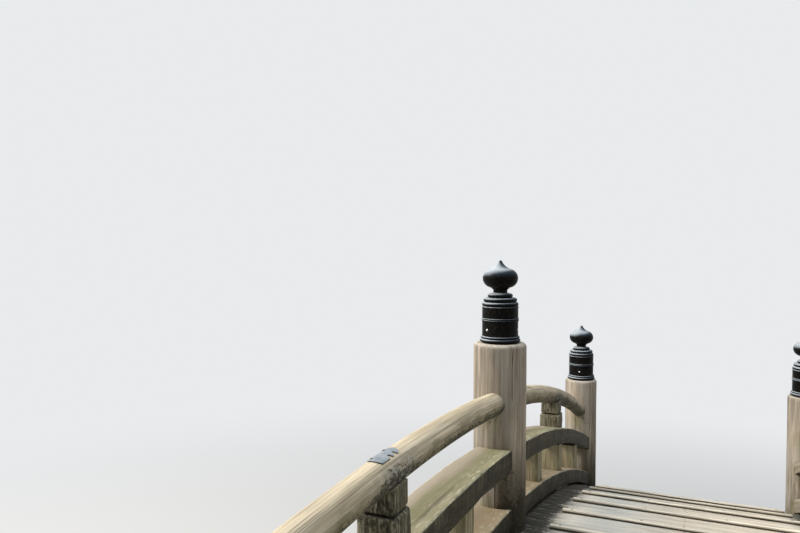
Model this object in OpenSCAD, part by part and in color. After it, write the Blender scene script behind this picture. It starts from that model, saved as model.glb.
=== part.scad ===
/* [Span] */
// Distance along the bridge between neighbouring post axes
bay = 2700; // [2500:10:3000]
// Rise of the walking surface from the end posts to the crown
rise = 805; // [700:10:1000]
// Length of deck beyond the axes of the end posts
end_reach = 260; // [220:5:320]
/* [Width] */
// Distance across the bridge between the axes of the two railings
rail_gauge = 1680; // [1500:10:1900]
// Width of deck outside each railing axis
deck_edge = 170; // [150:5:220]
/* [Deck] */
// Thickness of the deck boards
deck_t = 50; // [40:1:70]
// Width of a foot cleat along the walking line
cleat_w = 45; // [35:1:60]
// Height of a foot cleat
cleat_h = 22; // [15:1:30]
// Spacing of the foot cleats along the walking surface
cleat_pitch = 370; // [340:5:440]
// Distance from a railing axis to the end of the cleats
cleat_inset = 230; // [160:5:260]
/* [Girders] */
// Width of each girder
girder_w = 180; // [140:5:220]
// Depth of each girder
girder_h = 320; // [260:5:380]
// Width of the ties between girders
tie_w = 120; // [90:5:150]
// Depth of the ties between girders
tie_h = 180; // [140:5:220]
// Distance from the deck's underside down to the ties
tie_drop = 50; // [30:5:70]
/* [Sills] */
// Width of the sill beam under each end of the girders
sill_w = 300; // [260:5:360]
// Height of the sill beams
sill_h = 180; // [140:5:240]
// How far the sill beams reach past the outer girders
sill_reach = 80; // [40:5:140]
/* [Posts] */
// Diameter of the posts between the bays
post_d = 255; // [240:1:270]
// Diameter of the four end posts
end_post_d = 258; // [245:1:280]
// Height of a post's wood above the walking surface at its axis
post_h = 905; // [880:5:1000]
// Height of an end post's wood, which is taller because it stands lower on the slope
end_post_h = 940; // [880:5:1000]
// Radius of the rounded shoulder at the top of a post
post_round = 20; // [12:1:22]
/* [Caps] */
// Radius of a cap's plain sleeve
cap_r = 87; // [80:1:90]
// Height of the sleeve up to the stepped collar
cap_sleeve_h = 176; // [160:2:210]
// Height of the stepped collar
cap_collar_h = 62; // [55:1:75]
// Number of rings in the stepped collar
cap_collar_rings = 3; // [3:1:6]
// How far the foot ring stands out of the sleeve
cap_foot_out = 11; // [8:0.5:13]
// Radius of the neck under the onion
cap_neck_r = 34; // [32:1:42]
// Height of the neck
cap_neck_h = 17; // [10:1:18]
// Greatest radius of the onion
onion_r = 85; // [78:1:90]
// Height of the onion from the collar to its point
onion_h = 160; // [155:1:185]
// Height of the onion's widest ring above the collar
onion_belly_h = 74; // [72:1:82]
// Radius of the onion's rounded side
onion_side_r = 46; // [42:1:48]
// Radius of the hollow curve that rises to the onion's point
onion_flare_r = 70; // [60:1:90]
// Radius of the onion's blunt point
onion_point_r = 6; // [3:0.5:8]
// Size of an end post's cap against one between the bays
end_cap_ratio = 1.15; // [1:0.01:1.2]
/* [Railing] */
// Width of the lower and middle rails
rail_w = 172; // [150:2:190]
// Gap under the lower rail
lower_rail_gap = 14; // [8:1:40]
// Depth of the lower rail
lower_rail_h = 100; // [80:1:110]
// Clear height between the lower and middle rails
middle_rail_gap = 180; // [160:1:220]
// Depth of the middle rail
middle_rail_h = 102; // [80:1:110]
// Clear height between the middle rail and the handrail
handrail_gap = 156; // [140:1:180]
// Diameter of the round handrail
handrail_d = 108; // [98:1:125]
// Chamfer along the edges of the square rails
rail_chamfer = 6; // [3:0.5:10]
/* [Struts and blocks] */
// Struts in each bay between the lower and middle rails
struts_per_bay = 3; // [2:1:4]
// Side of a square strut
strut_w = 125; // [100:1:140]
// Side of the stub that stands on the middle rail
stub_w = 130; // [120:1:145]
// Height of the stub
stub_h = 96; // [88:1:104]
// Side of the saddle block on the stub
saddle_w = 116; // [108:1:118]
// Depth of the groove between the stub and the saddle block
groove_depth = 14; // [8:1:18]
// Height of the groove
groove_h = 10; // [6:1:14]
// How deep the handrail lies in the saddle block
saddle_depth = 25; // [15:1:30]
// Length of a spacer under the lower rail
spacer_l = 480; // [400:10:560]
// How far a spacer's sides lie behind the rail's
spacer_inset = 10; // [0:1:20]
/* [Rail plates] */
// Length of the iron plate over the crown of each handrail
plate_l = 150; // [130:2:180]
// Half of the angle that the plate covers round the handrail
plate_half_angle = 30; // [25:1:35]
// Thickness of the plate
plate_t = 2.5; // [2:0.1:4]
// Radius of the lobes that shape the plate's ends
plate_lobe_r = 11; // [9:0.5:13]
/* [Fit] */
// Clearance at a seat where a curved face meets another piece
seat = 0.3; // [0.2:0.05:0.5]
/* [Hidden] */

// Sides of the railings across the bridge, which runs along Y
left = -1;
right = 1;
bays = 3;
wood_dark = "dimgray";
wood_grey = "darkgray";
wood_tan = "tan";
metal_black = [0.09, 0.09, 0.1];
metal_blue = "slategray";

// Facets of a full circle: for the great arch arcs, and for round timber and turned metal
arch_fn = 1440;
round_fn = 96;
turned_fn = 128;

// The arch: every long member is part of a ring about one axis, which lies far below the bridge
post_span = bays * bay;
deck_r = (pow(rise, 2) + pow(post_span / 2, 2)) / (2 * rise);
end_y = post_span / 2 + end_reach;
girder_top_r = deck_r - deck_t - seat;
girder_under_r = girder_top_r - girder_h;
arch_z = sill_h - sqrt(pow(girder_under_r, 2) - pow(end_y - sill_w, 2));
lower_under_r = deck_r + lower_rail_gap;
lower_top_r = lower_under_r + lower_rail_h;
middle_under_r = lower_top_r + middle_rail_gap;
middle_top_r = middle_under_r + middle_rail_h;
handrail_r = middle_top_r + handrail_gap + handrail_d / 2;
deck_w = rail_gauge + 2 * deck_edge;
sill_l = rail_gauge + girder_w + 2 * sill_reach;

// Tall enough to cut through anything, with room past every face
far = 4 * rail_gauge;

function post_y(i) = (i - 1 - bays / 2) * bay;
function bay_y(i) = post_y(i) + bay / 2;
function is_end(i) = i == 1 || i == bays + 1;
function post_r(i) = (is_end(i) ? end_post_d : post_d) / 2;
function post_top(i) = height_at(deck_r, post_y(i)) + (is_end(i) ? end_post_h : post_h);
function cap_size(i) = is_end(i) ? end_cap_ratio : 1;
function height_at(r, y) = arch_z + sqrt(r * r - y * y);
function nearest_crown(from, to) = from * to <= 0 ? 0 : abs(from) < abs(to) ? from : to;
function halves(ends) = ends[0] * ends[1] < 0 ? [[ends[0], 0], [0, ends[1]]] : [ends];
function farthest_out(from, to) = abs(from) > abs(to) ? from : to;

// How far from a post's axis a member w wide and h deep may start, so that the post's face cuts all of it
function hold(i, r, w, h) = sqrt(pow(post_r(i) + seat, 2) - w * w / 4) - h / 2 * abs(post_y(i)) / r - 1;
function span(i, r, w, h) = [post_y(i) + hold(i, r, w, h), post_y(i + 1) - hold(i + 1, r, w, h)];
function arc(centre, r, from, to, steps) =
    [for (i = [0:steps]) centre + r * [cos(from + (to - from) * i / steps), sin(from + (to - from) * i / steps)]];

// Turns a drawing of the side view, with Y across and Z up, into a solid w wide about x = 0
module across(w) {
    translate([0, 0, arch_z])
        rotate([90, 0, 90])
            linear_extrude(w, center = true)
                children();
}

// A disc about the arch's axis, with a corner of its facets at y
module arch_disc(r, y) {
    rotate(-asin(y / r))
        circle(r, $fn = arch_fn);
}

// Part of a ring between two places along the bridge, with upright ends
module arch_slab(outer, inner, w, from, to) {
    across(w)
        for (part = halves([from, to]))
            intersection() {
                difference() {
                    arch_disc(outer, nearest_crown(part[0], part[1]));
                    arch_disc(inner, farthest_out(part[0], part[1]));
                }
                translate([part[0], 0])
                    square([part[1] - part[0], outer]);
            }
}

// Sweeps a cross-section, drawn with the radius across, along the arch between two places
module arch_sweep(r, ends) {
    start = asin(ends[0] / r);
    stop = asin(ends[1] / r);
    translate([0, 0, arch_z])
        rotate([0, -90, 0])
            rotate([0, 0, start])
                rotate_extrude(angle = stop - start, $fn = arch_fn)
                    children();
}

// What a post takes out of the members that end against it
module post_clearance(i) {
    translate([0, post_y(i), 0])
        cylinder(r = post_r(i) + seat, h = far, $fn = round_fn);
}

// Ends a member against the faces of the two posts of its bay
module between_posts(i) {
    difference() {
        children();
        post_clearance(i);
        post_clearance(i + 1);
    }
}

module side(s) {
    translate([s * rail_gauge / 2, 0, 0])
        children();
}

module sill(y_sign) {
    color(wood_dark)
        translate([0, y_sign * (end_y - sill_w / 2), sill_h / 2])
            cube([sill_l, sill_w, sill_h], center = true);
}

// A girder's ends are cut flat where they bear on the sills
module girder(x) {
    color(wood_dark)
        translate([x, 0, 0])
            difference() {
                arch_slab(girder_top_r, girder_under_r, girder_w, -end_y, end_y);
                translate([-girder_w, -far, -far])
                    cube([2 * girder_w, 2 * far, far + sill_h]);
            }
}

module cross_ties() {
    tie_r = deck_r - deck_t - tie_drop - tie_h / 2;
    tie_l = rail_gauge / 2 - girder_w;
    tie_y = concat([for (i = [1:bays + 1]) post_y(i) * (is_end(i) ? 0.9 : 1)], [0]);
    color(wood_dark)
        for (y = tie_y, s = [left, right])
            translate([s * rail_gauge / 4, 0, arch_z])
                rotate([-asin(y / tie_r), 0, 0])
                    translate([0, 0, tie_r])
                        cube([tie_l, tie_w, tie_h], center = true);
}

module deck() {
    color(wood_grey)
        arch_slab(deck_r, deck_r - deck_t, deck_w, -end_y, end_y);
}

// The cleats step evenly both ways from a place a little off the crown
module deck_cleats() {
    half_arc = deck_r * asin((end_y - cleat_w) / deck_r) * PI / 180;
    phase = 0.93;
    first = -floor(half_arc / cleat_pitch + phase);
    last = floor(half_arc / cleat_pitch - phase);
    color(wood_tan)
        for (k = [first:last])
            translate([0, 0, arch_z])
                rotate([-(k + phase) * cleat_pitch / deck_r * 180 / PI, 0, 0])
                    translate([0, 0, deck_r + seat + cleat_h / 2])
                        cube([rail_gauge - 2 * cleat_inset, cleat_w, cleat_h], center = true);
}

module post(s, i) {
    r = post_r(i);
    top = post_top(i);
    color(wood_grey)
        side(s)
            difference() {
                translate([0, post_y(i), 0])
                    rotate_extrude($fn = round_fn)
                        union() {
                            square([r, top - post_round]);
                            square([r - post_round, top]);
                            translate([r - post_round, top - post_round])
                                intersection() {
                                    circle(post_round, $fn = round_fn);
                                    square(post_round);
                                }
                        }
                across(4 * r)
                    arch_disc(deck_r + seat, farthest_out(post_y(i) - r, post_y(i) + r));
            }
}

// Outline of a turned cap from its foot to its point, with the axis at x = 0
function cap_outline() =
    let (
        foot_ring = 9,
        foot_bead = 6,
        band_bead = 4,
        band_z = cap_sleeve_h * 0.636,
        collar_bead = 3.5,
        ring = cap_collar_h / (cap_collar_rings * (1 + sin(70))),
        collar_bottom_r = cap_r + 1 - ring,
        collar_top = cap_sleeve_h + cap_collar_h,
        collar_top_r = cap_neck_r + ring * 1.5,
        belly = [onion_r - onion_side_r, collar_top + onion_belly_h],
        tip = [onion_point_r, collar_top + onion_h],
        reach = norm(tip - belly),
        near = onion_side_r + onion_flare_r,
        along = (near * near - onion_flare_r * onion_flare_r + reach * reach) / (2 * reach),
        aside = sqrt(near * near - along * along),
        up = (tip - belly) / reach,
        flare = belly + along * up + aside * [up[1], -up[0]],
        meet = atan2(flare[1] - belly[1], flare[0] - belly[0]),
        end = atan2(tip[1] - flare[1], tip[0] - flare[0])
    )
    concat(
        [[0, 0], [cap_r + cap_foot_out - foot_ring, 0]],
        arc([cap_r + cap_foot_out - foot_ring, foot_ring + 3], foot_ring, -90, 90, 10),
        arc([cap_r + 1, 2 * foot_ring + foot_bead + 3], foot_bead, -70, 90, 8),
        [[cap_r, 2 * (foot_ring + foot_bead) + 8]],
        arc([cap_r - 1, band_z - band_bead], band_bead, -75, 75, 8),
        arc([cap_r - 1, band_z + band_bead], band_bead, -75, 75, 8),
        arc([cap_r - 1, cap_sleeve_h - collar_bead], collar_bead, -73, 73, 8),
        [[cap_r, cap_sleeve_h]],
        [for (k = [0:cap_collar_rings - 1], p = collar_ring(k, ring, collar_bottom_r, collar_top_r)) p],
        [[cap_neck_r, collar_top + 4], [cap_neck_r, collar_top + cap_neck_h]],
        arc(belly, onion_side_r, -80, meet, 30),
        arc(flare, onion_flare_r, meet - 180, end > 0 ? end - 360 : end, 16),
        [[0, collar_top + onion_h + 1]]
    );

// One ring of the collar's dome, a quarter turn from flat below to upright at the neck
function collar_ring(k, ring, bottom_r, top_r) =
    let (share = pow(k / (cap_collar_rings - 1), 2))
    arc([bottom_r + (top_r - bottom_r) * share, cap_sleeve_h + ring * (sin(70) + k * (1 + sin(70)))],
        ring, -70, 90, 8);

module cap(s, i) {
    color(metal_black)
        side(s)
            translate([0, post_y(i), post_top(i)])
                rotate_extrude($fn = turned_fn)
                    scale(cap_size(i))
                        polygon(cap_outline());
}

module handrail(s, i) {
    color(wood_tan)
        side(s)
            between_posts(i)
                arch_sweep(handrail_r, span(i, handrail_r, handrail_d, handrail_d))
                    translate([handrail_r, 0])
                        circle(d = handrail_d, $fn = round_fn);
}

// Cross-section of a square rail, from its underside radius up
module rail_section(under_r, h) {
    c = rail_chamfer;
    w = rail_w / 2;
    translate([under_r, 0])
        polygon([
            [0, c - w], [c, -w], [h - c, -w], [h, c - w],
            [h, w - c], [h - c, w], [c, w], [0, w - c]
        ]);
}

module rail(i, under_r, h) {
    r = under_r + h / 2;
    between_posts(i)
        arch_sweep(r, span(i, r, rail_w, h))
            rail_section(under_r, h);
}

module middle_rail(s, i) {
    color(wood_tan)
        side(s)
            rail(i, middle_under_r, middle_rail_h);
}

module lower_rail(s) {
    color(wood_grey)
        side(s)
            for (i = [1:bays])
                rail(i, lower_under_r, lower_rail_h);
}

// Upright square struts, with their ends cut to the curve of the rails
module struts(s) {
    color(wood_tan)
        side(s)
            for (i = [1:bays], k = [1:struts_per_bay])
                strut(post_y(i) + bay * k / (struts_per_bay + 1));
}

module strut(y) {
    arch_slab(middle_under_r - seat, lower_top_r + seat, strut_w, y - strut_w / 2, y + strut_w / 2);
}

// A stub with rounded shoulders, a groove, and a saddle block that holds the handrail
module blocks(s) {
    color(wood_grey)
        side(s)
            for (i = [1:bays])
                block(i);
}

module block(i) {
    y = bay_y(i);
    near = nearest_crown(y - saddle_w / 2, y + saddle_w / 2);
    out = farthest_out(y - stub_w / 2, y + stub_w / 2);
    difference() {
        translate([0, y, height_at(middle_top_r, y)])
            intersection() {
                block_slab();
                rotate([0, 0, 90])
                    block_slab();
            }
        across(2 * stub_w)
            arch_disc(middle_top_r + seat, out);
        across(2 * stub_w)
            difference() {
                arch_disc(handrail_r + 2 * handrail_d, near);
                arch_disc(handrail_r - handrail_d / 2 + saddle_depth, near);
            }
        arch_sweep(handrail_r, [y - stub_w, y + stub_w])
            translate([handrail_r, 0])
                circle(handrail_d / 2 + seat, $fn = round_fn);
    }
}

module block_slab() {
    rotate([90, 0, 90])
        linear_extrude(2 * stub_w, center = true)
            block_outline();
}

module block_outline() {
    shoulder = 12;
    floor_w = saddle_w / 2 - groove_depth;
    top = handrail_gap + handrail_d;
    profile = concat(
        [[stub_w / 2, -stub_w]],
        arc([stub_w / 2 - shoulder, stub_h - shoulder], shoulder, 0, 75, 6),
        [[floor_w, stub_h + groove_h * 0.2], [floor_w, stub_h + groove_h * 0.6]],
        [[saddle_w / 2, stub_h + groove_h], [saddle_w / 2, top]]
    );
    polygon(concat(profile, [for (k = [len(profile) - 1:-1:0]) [-profile[k][0], profile[k][1]]]));
}

// Spacers carry the lower rail in the middle of a bay and at its posts, and let the deck drain
module spacers(s) {
    color(wood_grey)
        side(s)
            for (i = [1:bays]) {
                w = rail_w - 2 * spacer_inset;
                spacer(w, bay_y(i) - spacer_l / 2, bay_y(i) + spacer_l / 2);
                between_posts(i) {
                    ends = span(i, deck_r, w, 0);
                    spacer(w, ends[0], post_y(i) + spacer_l / 2);
                    spacer(w, post_y(i + 1) - spacer_l / 2, ends[1]);
                }
            }
}

module spacer(w, from, to) {
    arch_slab(lower_under_r - seat, deck_r + seat, w, from, to);
}

// Curved iron plates, nailed over the handrails at the crown
module rail_plates() {
    color(metal_blue)
        for (s = [left, right])
            side(s)
                intersection() {
                    arch_sweep(handrail_r, [-plate_l, plate_l])
                        translate([handrail_r, 0])
                            plate_section();
                    translate([0, 0, arch_z + handrail_r])
                        linear_extrude(handrail_d)
                            plate_outline();
                }
}

module plate_section() {
    inner = handrail_d / 2 + seat;
    reach = handrail_d;
    intersection() {
        rotate(180)
            difference() {
                circle(inner + plate_t, $fn = round_fn);
                circle(inner, $fn = round_fn);
            }
        polygon([
            [0, 0],
            reach * [cos(plate_half_angle), -sin(plate_half_angle)],
            [reach * 2, 0],
            reach * [cos(plate_half_angle), sin(plate_half_angle)]
        ]);
    }
}

// Straight sides, and at each end three lobes like the edge of a cloud
module plate_outline() {
    straight = plate_l - 3.2 * plate_lobe_r;
    square([handrail_d, straight], center = true);
    for (end = [-1, 1]) {
        for (s = [-1, 1])
            translate([s * 1.7 * plate_lobe_r, end * straight / 2])
                circle(plate_lobe_r, $fn = round_fn);
        translate([0, end * (plate_l / 2 - plate_lobe_r)])
            circle(plate_lobe_r, $fn = round_fn);
    }
}

sill(-1);  // sill_near
sill(1);  // sill_far
girder(-rail_gauge / 2);  // girder_left
girder(0);  // girder_middle
girder(rail_gauge / 2);  // girder_right
cross_ties();
deck();
deck_cleats();
post(left, 1);  // post_left_1
post(left, 2);  // post_left_2
post(left, 3);  // post_left_3
post(left, 4);  // post_left_4
post(right, 1);  // post_right_1
post(right, 2);  // post_right_2
post(right, 3);  // post_right_3
post(right, 4);  // post_right_4
cap(left, 1);  // cap_left_1
cap(left, 2);  // cap_left_2
cap(left, 3);  // cap_left_3
cap(left, 4);  // cap_left_4
cap(right, 1);  // cap_right_1
cap(right, 2);  // cap_right_2
cap(right, 3);  // cap_right_3
cap(right, 4);  // cap_right_4
handrail(left, 1);  // handrail_left_1
handrail(left, 2);  // handrail_left_2
handrail(left, 3);  // handrail_left_3
handrail(right, 1);  // handrail_right_1
handrail(right, 2);  // handrail_right_2
handrail(right, 3);  // handrail_right_3
middle_rail(left, 1);  // middle_rail_left_1
middle_rail(left, 2);  // middle_rail_left_2
middle_rail(left, 3);  // middle_rail_left_3
middle_rail(right, 1);  // middle_rail_right_1
middle_rail(right, 2);  // middle_rail_right_2
middle_rail(right, 3);  // middle_rail_right_3
lower_rail(left);  // lower_rail_left
lower_rail(right);  // lower_rail_right
struts(left);  // struts_left
struts(right);  // struts_right
blocks(left);  // blocks_left
blocks(right);  // blocks_right
spacers(left);  // spacers_left
spacers(right);  // spacers_right
rail_plates();
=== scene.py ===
# %% [markdown]
# # An arched timber footbridge
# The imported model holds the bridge's structure at its real size: girders, a boarded deck, round posts,
# curved rails and turned metal caps. This script gives each piece the surface that it has after years
# in the open: split logs, worn edges, green film on the tops, and black streaks where water runs down.
# Every cell below makes one kind of piece or one finish, and prints what it made.

# %% Load the frame
import math
import random

import bmesh
import bpy
from mathutils import Matrix, Vector, noise


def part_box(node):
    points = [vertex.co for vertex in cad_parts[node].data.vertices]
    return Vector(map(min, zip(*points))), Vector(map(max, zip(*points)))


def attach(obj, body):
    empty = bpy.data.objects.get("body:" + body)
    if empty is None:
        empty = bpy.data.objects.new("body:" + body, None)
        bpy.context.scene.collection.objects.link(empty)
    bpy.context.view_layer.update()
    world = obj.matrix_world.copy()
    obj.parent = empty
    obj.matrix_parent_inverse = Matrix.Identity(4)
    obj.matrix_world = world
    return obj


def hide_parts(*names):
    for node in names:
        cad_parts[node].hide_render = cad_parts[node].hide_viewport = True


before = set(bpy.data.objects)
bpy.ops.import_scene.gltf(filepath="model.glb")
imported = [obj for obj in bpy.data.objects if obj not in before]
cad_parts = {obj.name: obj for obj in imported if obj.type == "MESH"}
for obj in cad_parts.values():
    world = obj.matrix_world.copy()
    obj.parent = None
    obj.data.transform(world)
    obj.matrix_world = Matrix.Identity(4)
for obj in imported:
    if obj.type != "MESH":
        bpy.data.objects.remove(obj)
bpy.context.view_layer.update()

print("pieces in the frame:", len(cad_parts))

# %% [markdown]
# ## One arch for everything
# All the long members, from the girders up to the handrails, are parts of rings about one level axis
# far below the bridge. So a place on the bridge is told by two numbers: a radius from that axis, and an
# arc length along the bridge from the crown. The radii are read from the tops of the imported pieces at
# the crown, so they follow the frame.

# %% Sizes of the arch
BAY = 2.70
BAYS = 3
RISE = 0.805
HALF_SPAN = BAY * BAYS / 2
DECK_R = (RISE ** 2 + HALF_SPAN ** 2) / (2 * RISE)
ARCH_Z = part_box("deck")[1].z - DECK_R
END_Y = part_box("deck")[1].y
POST_YS = [(i - BAYS / 2) * BAY for i in range(BAYS + 1)]
BAY_YS = [y + BAY / 2 for y in POST_YS[:-1]]
SIDES = {"left": -1, "right": 1}


def size_of(node):
    """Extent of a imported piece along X, Y and Z."""
    low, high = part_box(node)
    return high - low


def crown_radius(node):
    """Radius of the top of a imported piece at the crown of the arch."""
    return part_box(node)[1].z - ARCH_Z


def arc_length(y, radius):
    """How far along the ring of that radius a place y along the bridge lies from the crown."""
    return math.asin(y / radius) * radius


def height_at(radius, y):
    """Height of the ring of that radius over a place y along the bridge."""
    return ARCH_Z + math.sqrt(radius ** 2 - y ** 2)


RAIL_X = (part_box("post_right_2")[0].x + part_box("post_right_2")[1].x) / 2
DECK_W = size_of("deck").x
RAIL_W = size_of("middle_rail_left_2").x
RAIL_H = {"lower": 0.100, "middle": 0.102}
LOWER_TOP_R = crown_radius("lower_rail_left")
MIDDLE_TOP_R = crown_radius("middle_rail_left_2")
MIDDLE_UNDER_R = MIDDLE_TOP_R - RAIL_H["middle"]
HANDRAIL_D = size_of("handrail_left_2").x
HANDRAIL_R = crown_radius("handrail_left_2") - HANDRAIL_D / 2
print(f"deck radius {DECK_R:.3f} m, handrail {HANDRAIL_D:.3f} m thick at radius {HANDRAIL_R:.3f} m")

# %% [markdown]
# ## How a timber is made
# Each timber starts straight, along Y, with its centre at the origin. While it is straight its points
# are noted down in four attributes, and only then is it bent onto the arch or stood upright. So the
# grain follows the curve, as it does in a log that grew or was steamed to that shape.
#
# - grain: the place in metres, along and across the fibres
# - section: the same place from -1 to 1 in each direction, which tells edges and ends from faces
# - tone: one random number for the whole timber, so that no two boards match
# - damp and split: where water sits, and where a drying crack is open; on a handrail, damp also
#   carries painted shade where it meets a post

# %% Notes for the materials
NOTES = {
    "grain": "float_vector", "section": "float_vector",
    "tone": "float", "damp": "float", "split": "float",
}


def note_layers(bm):
    """The attribute layers of a timber, made where they are missing."""
    found = {}
    for name, kind in NOTES.items():
        layers = getattr(bm.verts.layers, kind)
        found[name] = layers.get(name) or layers.new(name)
    return found


def note_timber(bm, half, tone, damp=None):
    """Writes down where each point lies in its straight timber, whose half extents are given."""
    layers = note_layers(bm)
    for vert in bm.verts:
        co = vert.co
        vert[layers["grain"]] = co
        vert[layers["section"]] = Vector((co.x / half.x, co.y / half.y, co.z / half.z))
        vert[layers["tone"]] = tone
        vert[layers["damp"]] = damp(co) if damp else 0.0


print("notes kept on each timber:", ", ".join(NOTES))

# %% [markdown]
# ## Sawn timbers
# A sawn timber could be a plain box, but its edges are what the light shows first. Here a cube is
# scaled, its long edges are bevelled, and lines are cut across and along it. Then the edges are bitten
# away unevenly and the faces wander by a millimetre or two, as hand-finished timber does.

# %% Make and wear a sawn timber
def cut_across(bm, point, normal, **settings):
    """Cuts every face that a plane crosses."""
    geom = bm.verts[:] + bm.edges[:] + bm.faces[:]
    return bmesh.ops.bisect_plane(bm, geom=geom, plane_co=point, plane_no=normal, **settings)


def sawn_timber(width, length, height, corner, step, lines_across=(), all_edges=False):
    """A straight timber along Y with bevelled edges and a line of points at every step of its length."""
    bm = bmesh.new()
    bmesh.ops.create_cube(bm, size=1)
    bmesh.ops.scale(bm, vec=(width, length, height), verts=bm.verts)
    edges = [e for e in bm.edges if all_edges or abs(e.verts[0].co.y - e.verts[1].co.y) > length / 2]
    bmesh.ops.bevel(bm, geom=edges, offset=corner, segments=2, profile=0.5, affect="EDGES", material=-1)
    for share in lines_across:
        for normal, reach in (((1, 0, 0), width / 2), ((0, 0, 1), height / 2)):
            cut_across(bm, Vector(normal) * reach * share, normal)
    long_edges = [e for e in bm.edges if abs(e.verts[0].co.y - e.verts[1].co.y) > length / 2]
    cuts = max(1, round(length / step)) - 1
    if cuts:
        bmesh.ops.subdivide_edges(bm, edges=long_edges, cuts=cuts, use_grid_fill=True)
    return bm


def wear_edges(bm, half, reach, bite, seed):
    """Bites into the long edges, unevenly, within reach of each edge."""
    for vert in bm.verts:
        from_edge = max(half.x - abs(vert.co.x), half.z - abs(vert.co.z))
        if from_edge < reach:
            chip = 0.35 + noise.noise(vert.co * 7 + seed) + 0.6 * noise.noise(vert.co * 31 + seed)
            depth = bite * (1 - from_edge / reach) * max(0.0, chip)
            vert.co.x -= math.copysign(depth, vert.co.x)
            vert.co.z -= math.copysign(depth, vert.co.z)


def wander(bm, amount, size, seed):
    """Moves every point a little by smooth noise whose waves are about that size."""
    for vert in bm.verts:
        vert.co += noise.noise_vector(vert.co / size + seed) * amount


def worn_timber(size, corner, step, lines, tone, damp, seed, bite, stray=None, all_edges=False):
    """A sawn timber that is noted down and worn. Bite is for wear_edges, and stray is for wander."""
    half = Vector(size) / 2
    bm = sawn_timber(*size, corner, step, lines, all_edges)
    note_timber(bm, half, tone, damp)
    wear_edges(bm, half, *bite, seed)
    if stray:
        wander(bm, *stray, seed)
    return bm


def place_on_arch(bm, x, radius):
    """Bends a straight timber, laid along Y from the crown, onto the ring of that radius."""
    for vert in bm.verts:
        angle = vert.co.y / radius
        reach = radius + vert.co.z
        vert.co = Vector((x + vert.co.x, reach * math.sin(angle), ARCH_Z + reach * math.cos(angle)))


def slide(bm, offset):
    bmesh.ops.translate(bm, vec=offset, verts=bm.verts)


def turn_about(bm, degrees, axis, centre=(0, 0, 0)):
    matrix = Matrix.Rotation(math.radians(degrees), 3, axis)
    bmesh.ops.rotate(bm, cent=centre, matrix=matrix, verts=bm.verts)


def tilt_onto_arch(bm, y, radius):
    """Leans a piece that stands at the crown of that ring over to its place y, without bending it."""
    turn_about(bm, -math.degrees(math.asin(y / radius)), "X", (0, 0, ARCH_Z))


def lay_across(bm, x, y, radius, lift):
    """Turns a timber across the bridge, and sets it on the ring of that radius, raised by lift."""
    turn_about(bm, 90, "Z")
    slide(bm, (x, 0, ARCH_Z + radius + lift))
    tilt_onto_arch(bm, y, radius)


print("a sawn timber is bevelled, worn, and then bent onto the arch or laid across it")

# %% [markdown]
# ## Round logs
# A post or a handrail is a peeled log. It is turned: an outline of radius and height is spun about an
# axis. As a log dries it shrinks more round its rings than across them, so it must split along its
# length. Those cracks are deep and sharp, and they catch shadow, so they are cut into the mesh: one
# column of points sinks in, and its two neighbours close up to the crack's real width.

# %% Turn a log and open its cracks
KNOT_L = 0.045
KNOT_RISE = 0.0016


def turn(outline, sides):
    """Spins an outline of (radius, height) points about Z into a closed solid."""
    bm = bmesh.new()
    verts = [bm.verts.new((radius, 0, height)) for radius, height in outline]
    edges = [bm.edges.new(pair) for pair in zip(verts, verts[1:])]
    bmesh.ops.spin(
        bm, geom=verts + edges, cent=(0, 0, 0), axis=(0, 0, 1), angle=math.tau, steps=sides, use_merge=True
    )
    bmesh.ops.remove_doubles(bm, verts=bm.verts, dist=1e-6)
    bmesh.ops.recalc_face_normals(bm, faces=bm.faces)
    return bm


def log_outline(radius, length, step, shoulder=0.0):
    """Outline of a log, with its middle at height 0 and a rounded shoulder at the top."""
    half = length / 2
    rows = max(2, round((length - shoulder) / step))
    side = [(radius, -half + (length - shoulder) * i / rows) for i in range(rows + 1)]
    rim = []
    if shoulder:
        arcs = 6
        for i in range(1, arcs + 1):
            angle = math.pi / 2 * i / arcs
            rim.append((radius - shoulder * (1 - math.cos(angle)), half - shoulder * (1 - math.sin(angle))))
    return [(0, -half)] + [(radius * share, -half) for share in (0.5, 0.9)] + side + rim + [(0, half)]


def draw_cracks(draw, count, sides, length, longest, width, depth):
    """Picks where the drying cracks of one log run."""
    cracks = []
    for i in range(count):
        run = longest * draw.uniform(0.3, 1.0)
        middle = draw.uniform(-0.46, 0.46) * length
        size = draw.uniform(0.4, 1.0)
        column = (i * sides // count + draw.randrange(max(1, sides // count - 3))) % sides
        cracks.append((column, middle - run / 2, middle + run / 2, width * size, depth * size))
    return cracks


def open_cracks(bm, sides, radius, cracks):
    """Cuts the cracks into a log that lies along Y, and marks them in the split note."""
    step = math.tau / sides
    split = note_layers(bm)["split"]
    columns = {}
    for vert in bm.verts:
        if math.hypot(vert.co.x, vert.co.z) > radius * 0.93:
            columns.setdefault(round(math.atan2(vert.co.z, vert.co.x) / step) % sides, []).append(vert)
    for column, start, end, width, depth in cracks:
        for offset in (-1, 0, 1):
            for vert in columns[(column + offset) % sides]:
                share = (vert.co.y - start) / (end - start)
                if not 0 < share < 1:
                    continue
                gape = math.sin(math.pi * share) ** 0.6
                drift = 0.4 * step * noise.noise(Vector((vert.co.y * 5, column, width)))
                narrow = offset * width / 2 / radius
                angle = column * step + drift + offset * step * (1 - gape) + narrow * gape
                reach = math.hypot(vert.co.x, vert.co.z)
                if offset == 0:
                    reach -= depth * gape
                    vert[split] = gape
                vert.co.x = reach * math.cos(angle)
                vert.co.z = reach * math.sin(angle)


def cracked_log(outline, radius, sides, cracks):
    """A log that lies along Y, with its cracks open."""
    bm = turn(outline, sides)
    turn_about(bm, -90, "X")
    open_cracks(bm, sides, radius, cracks)
    return bm


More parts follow.
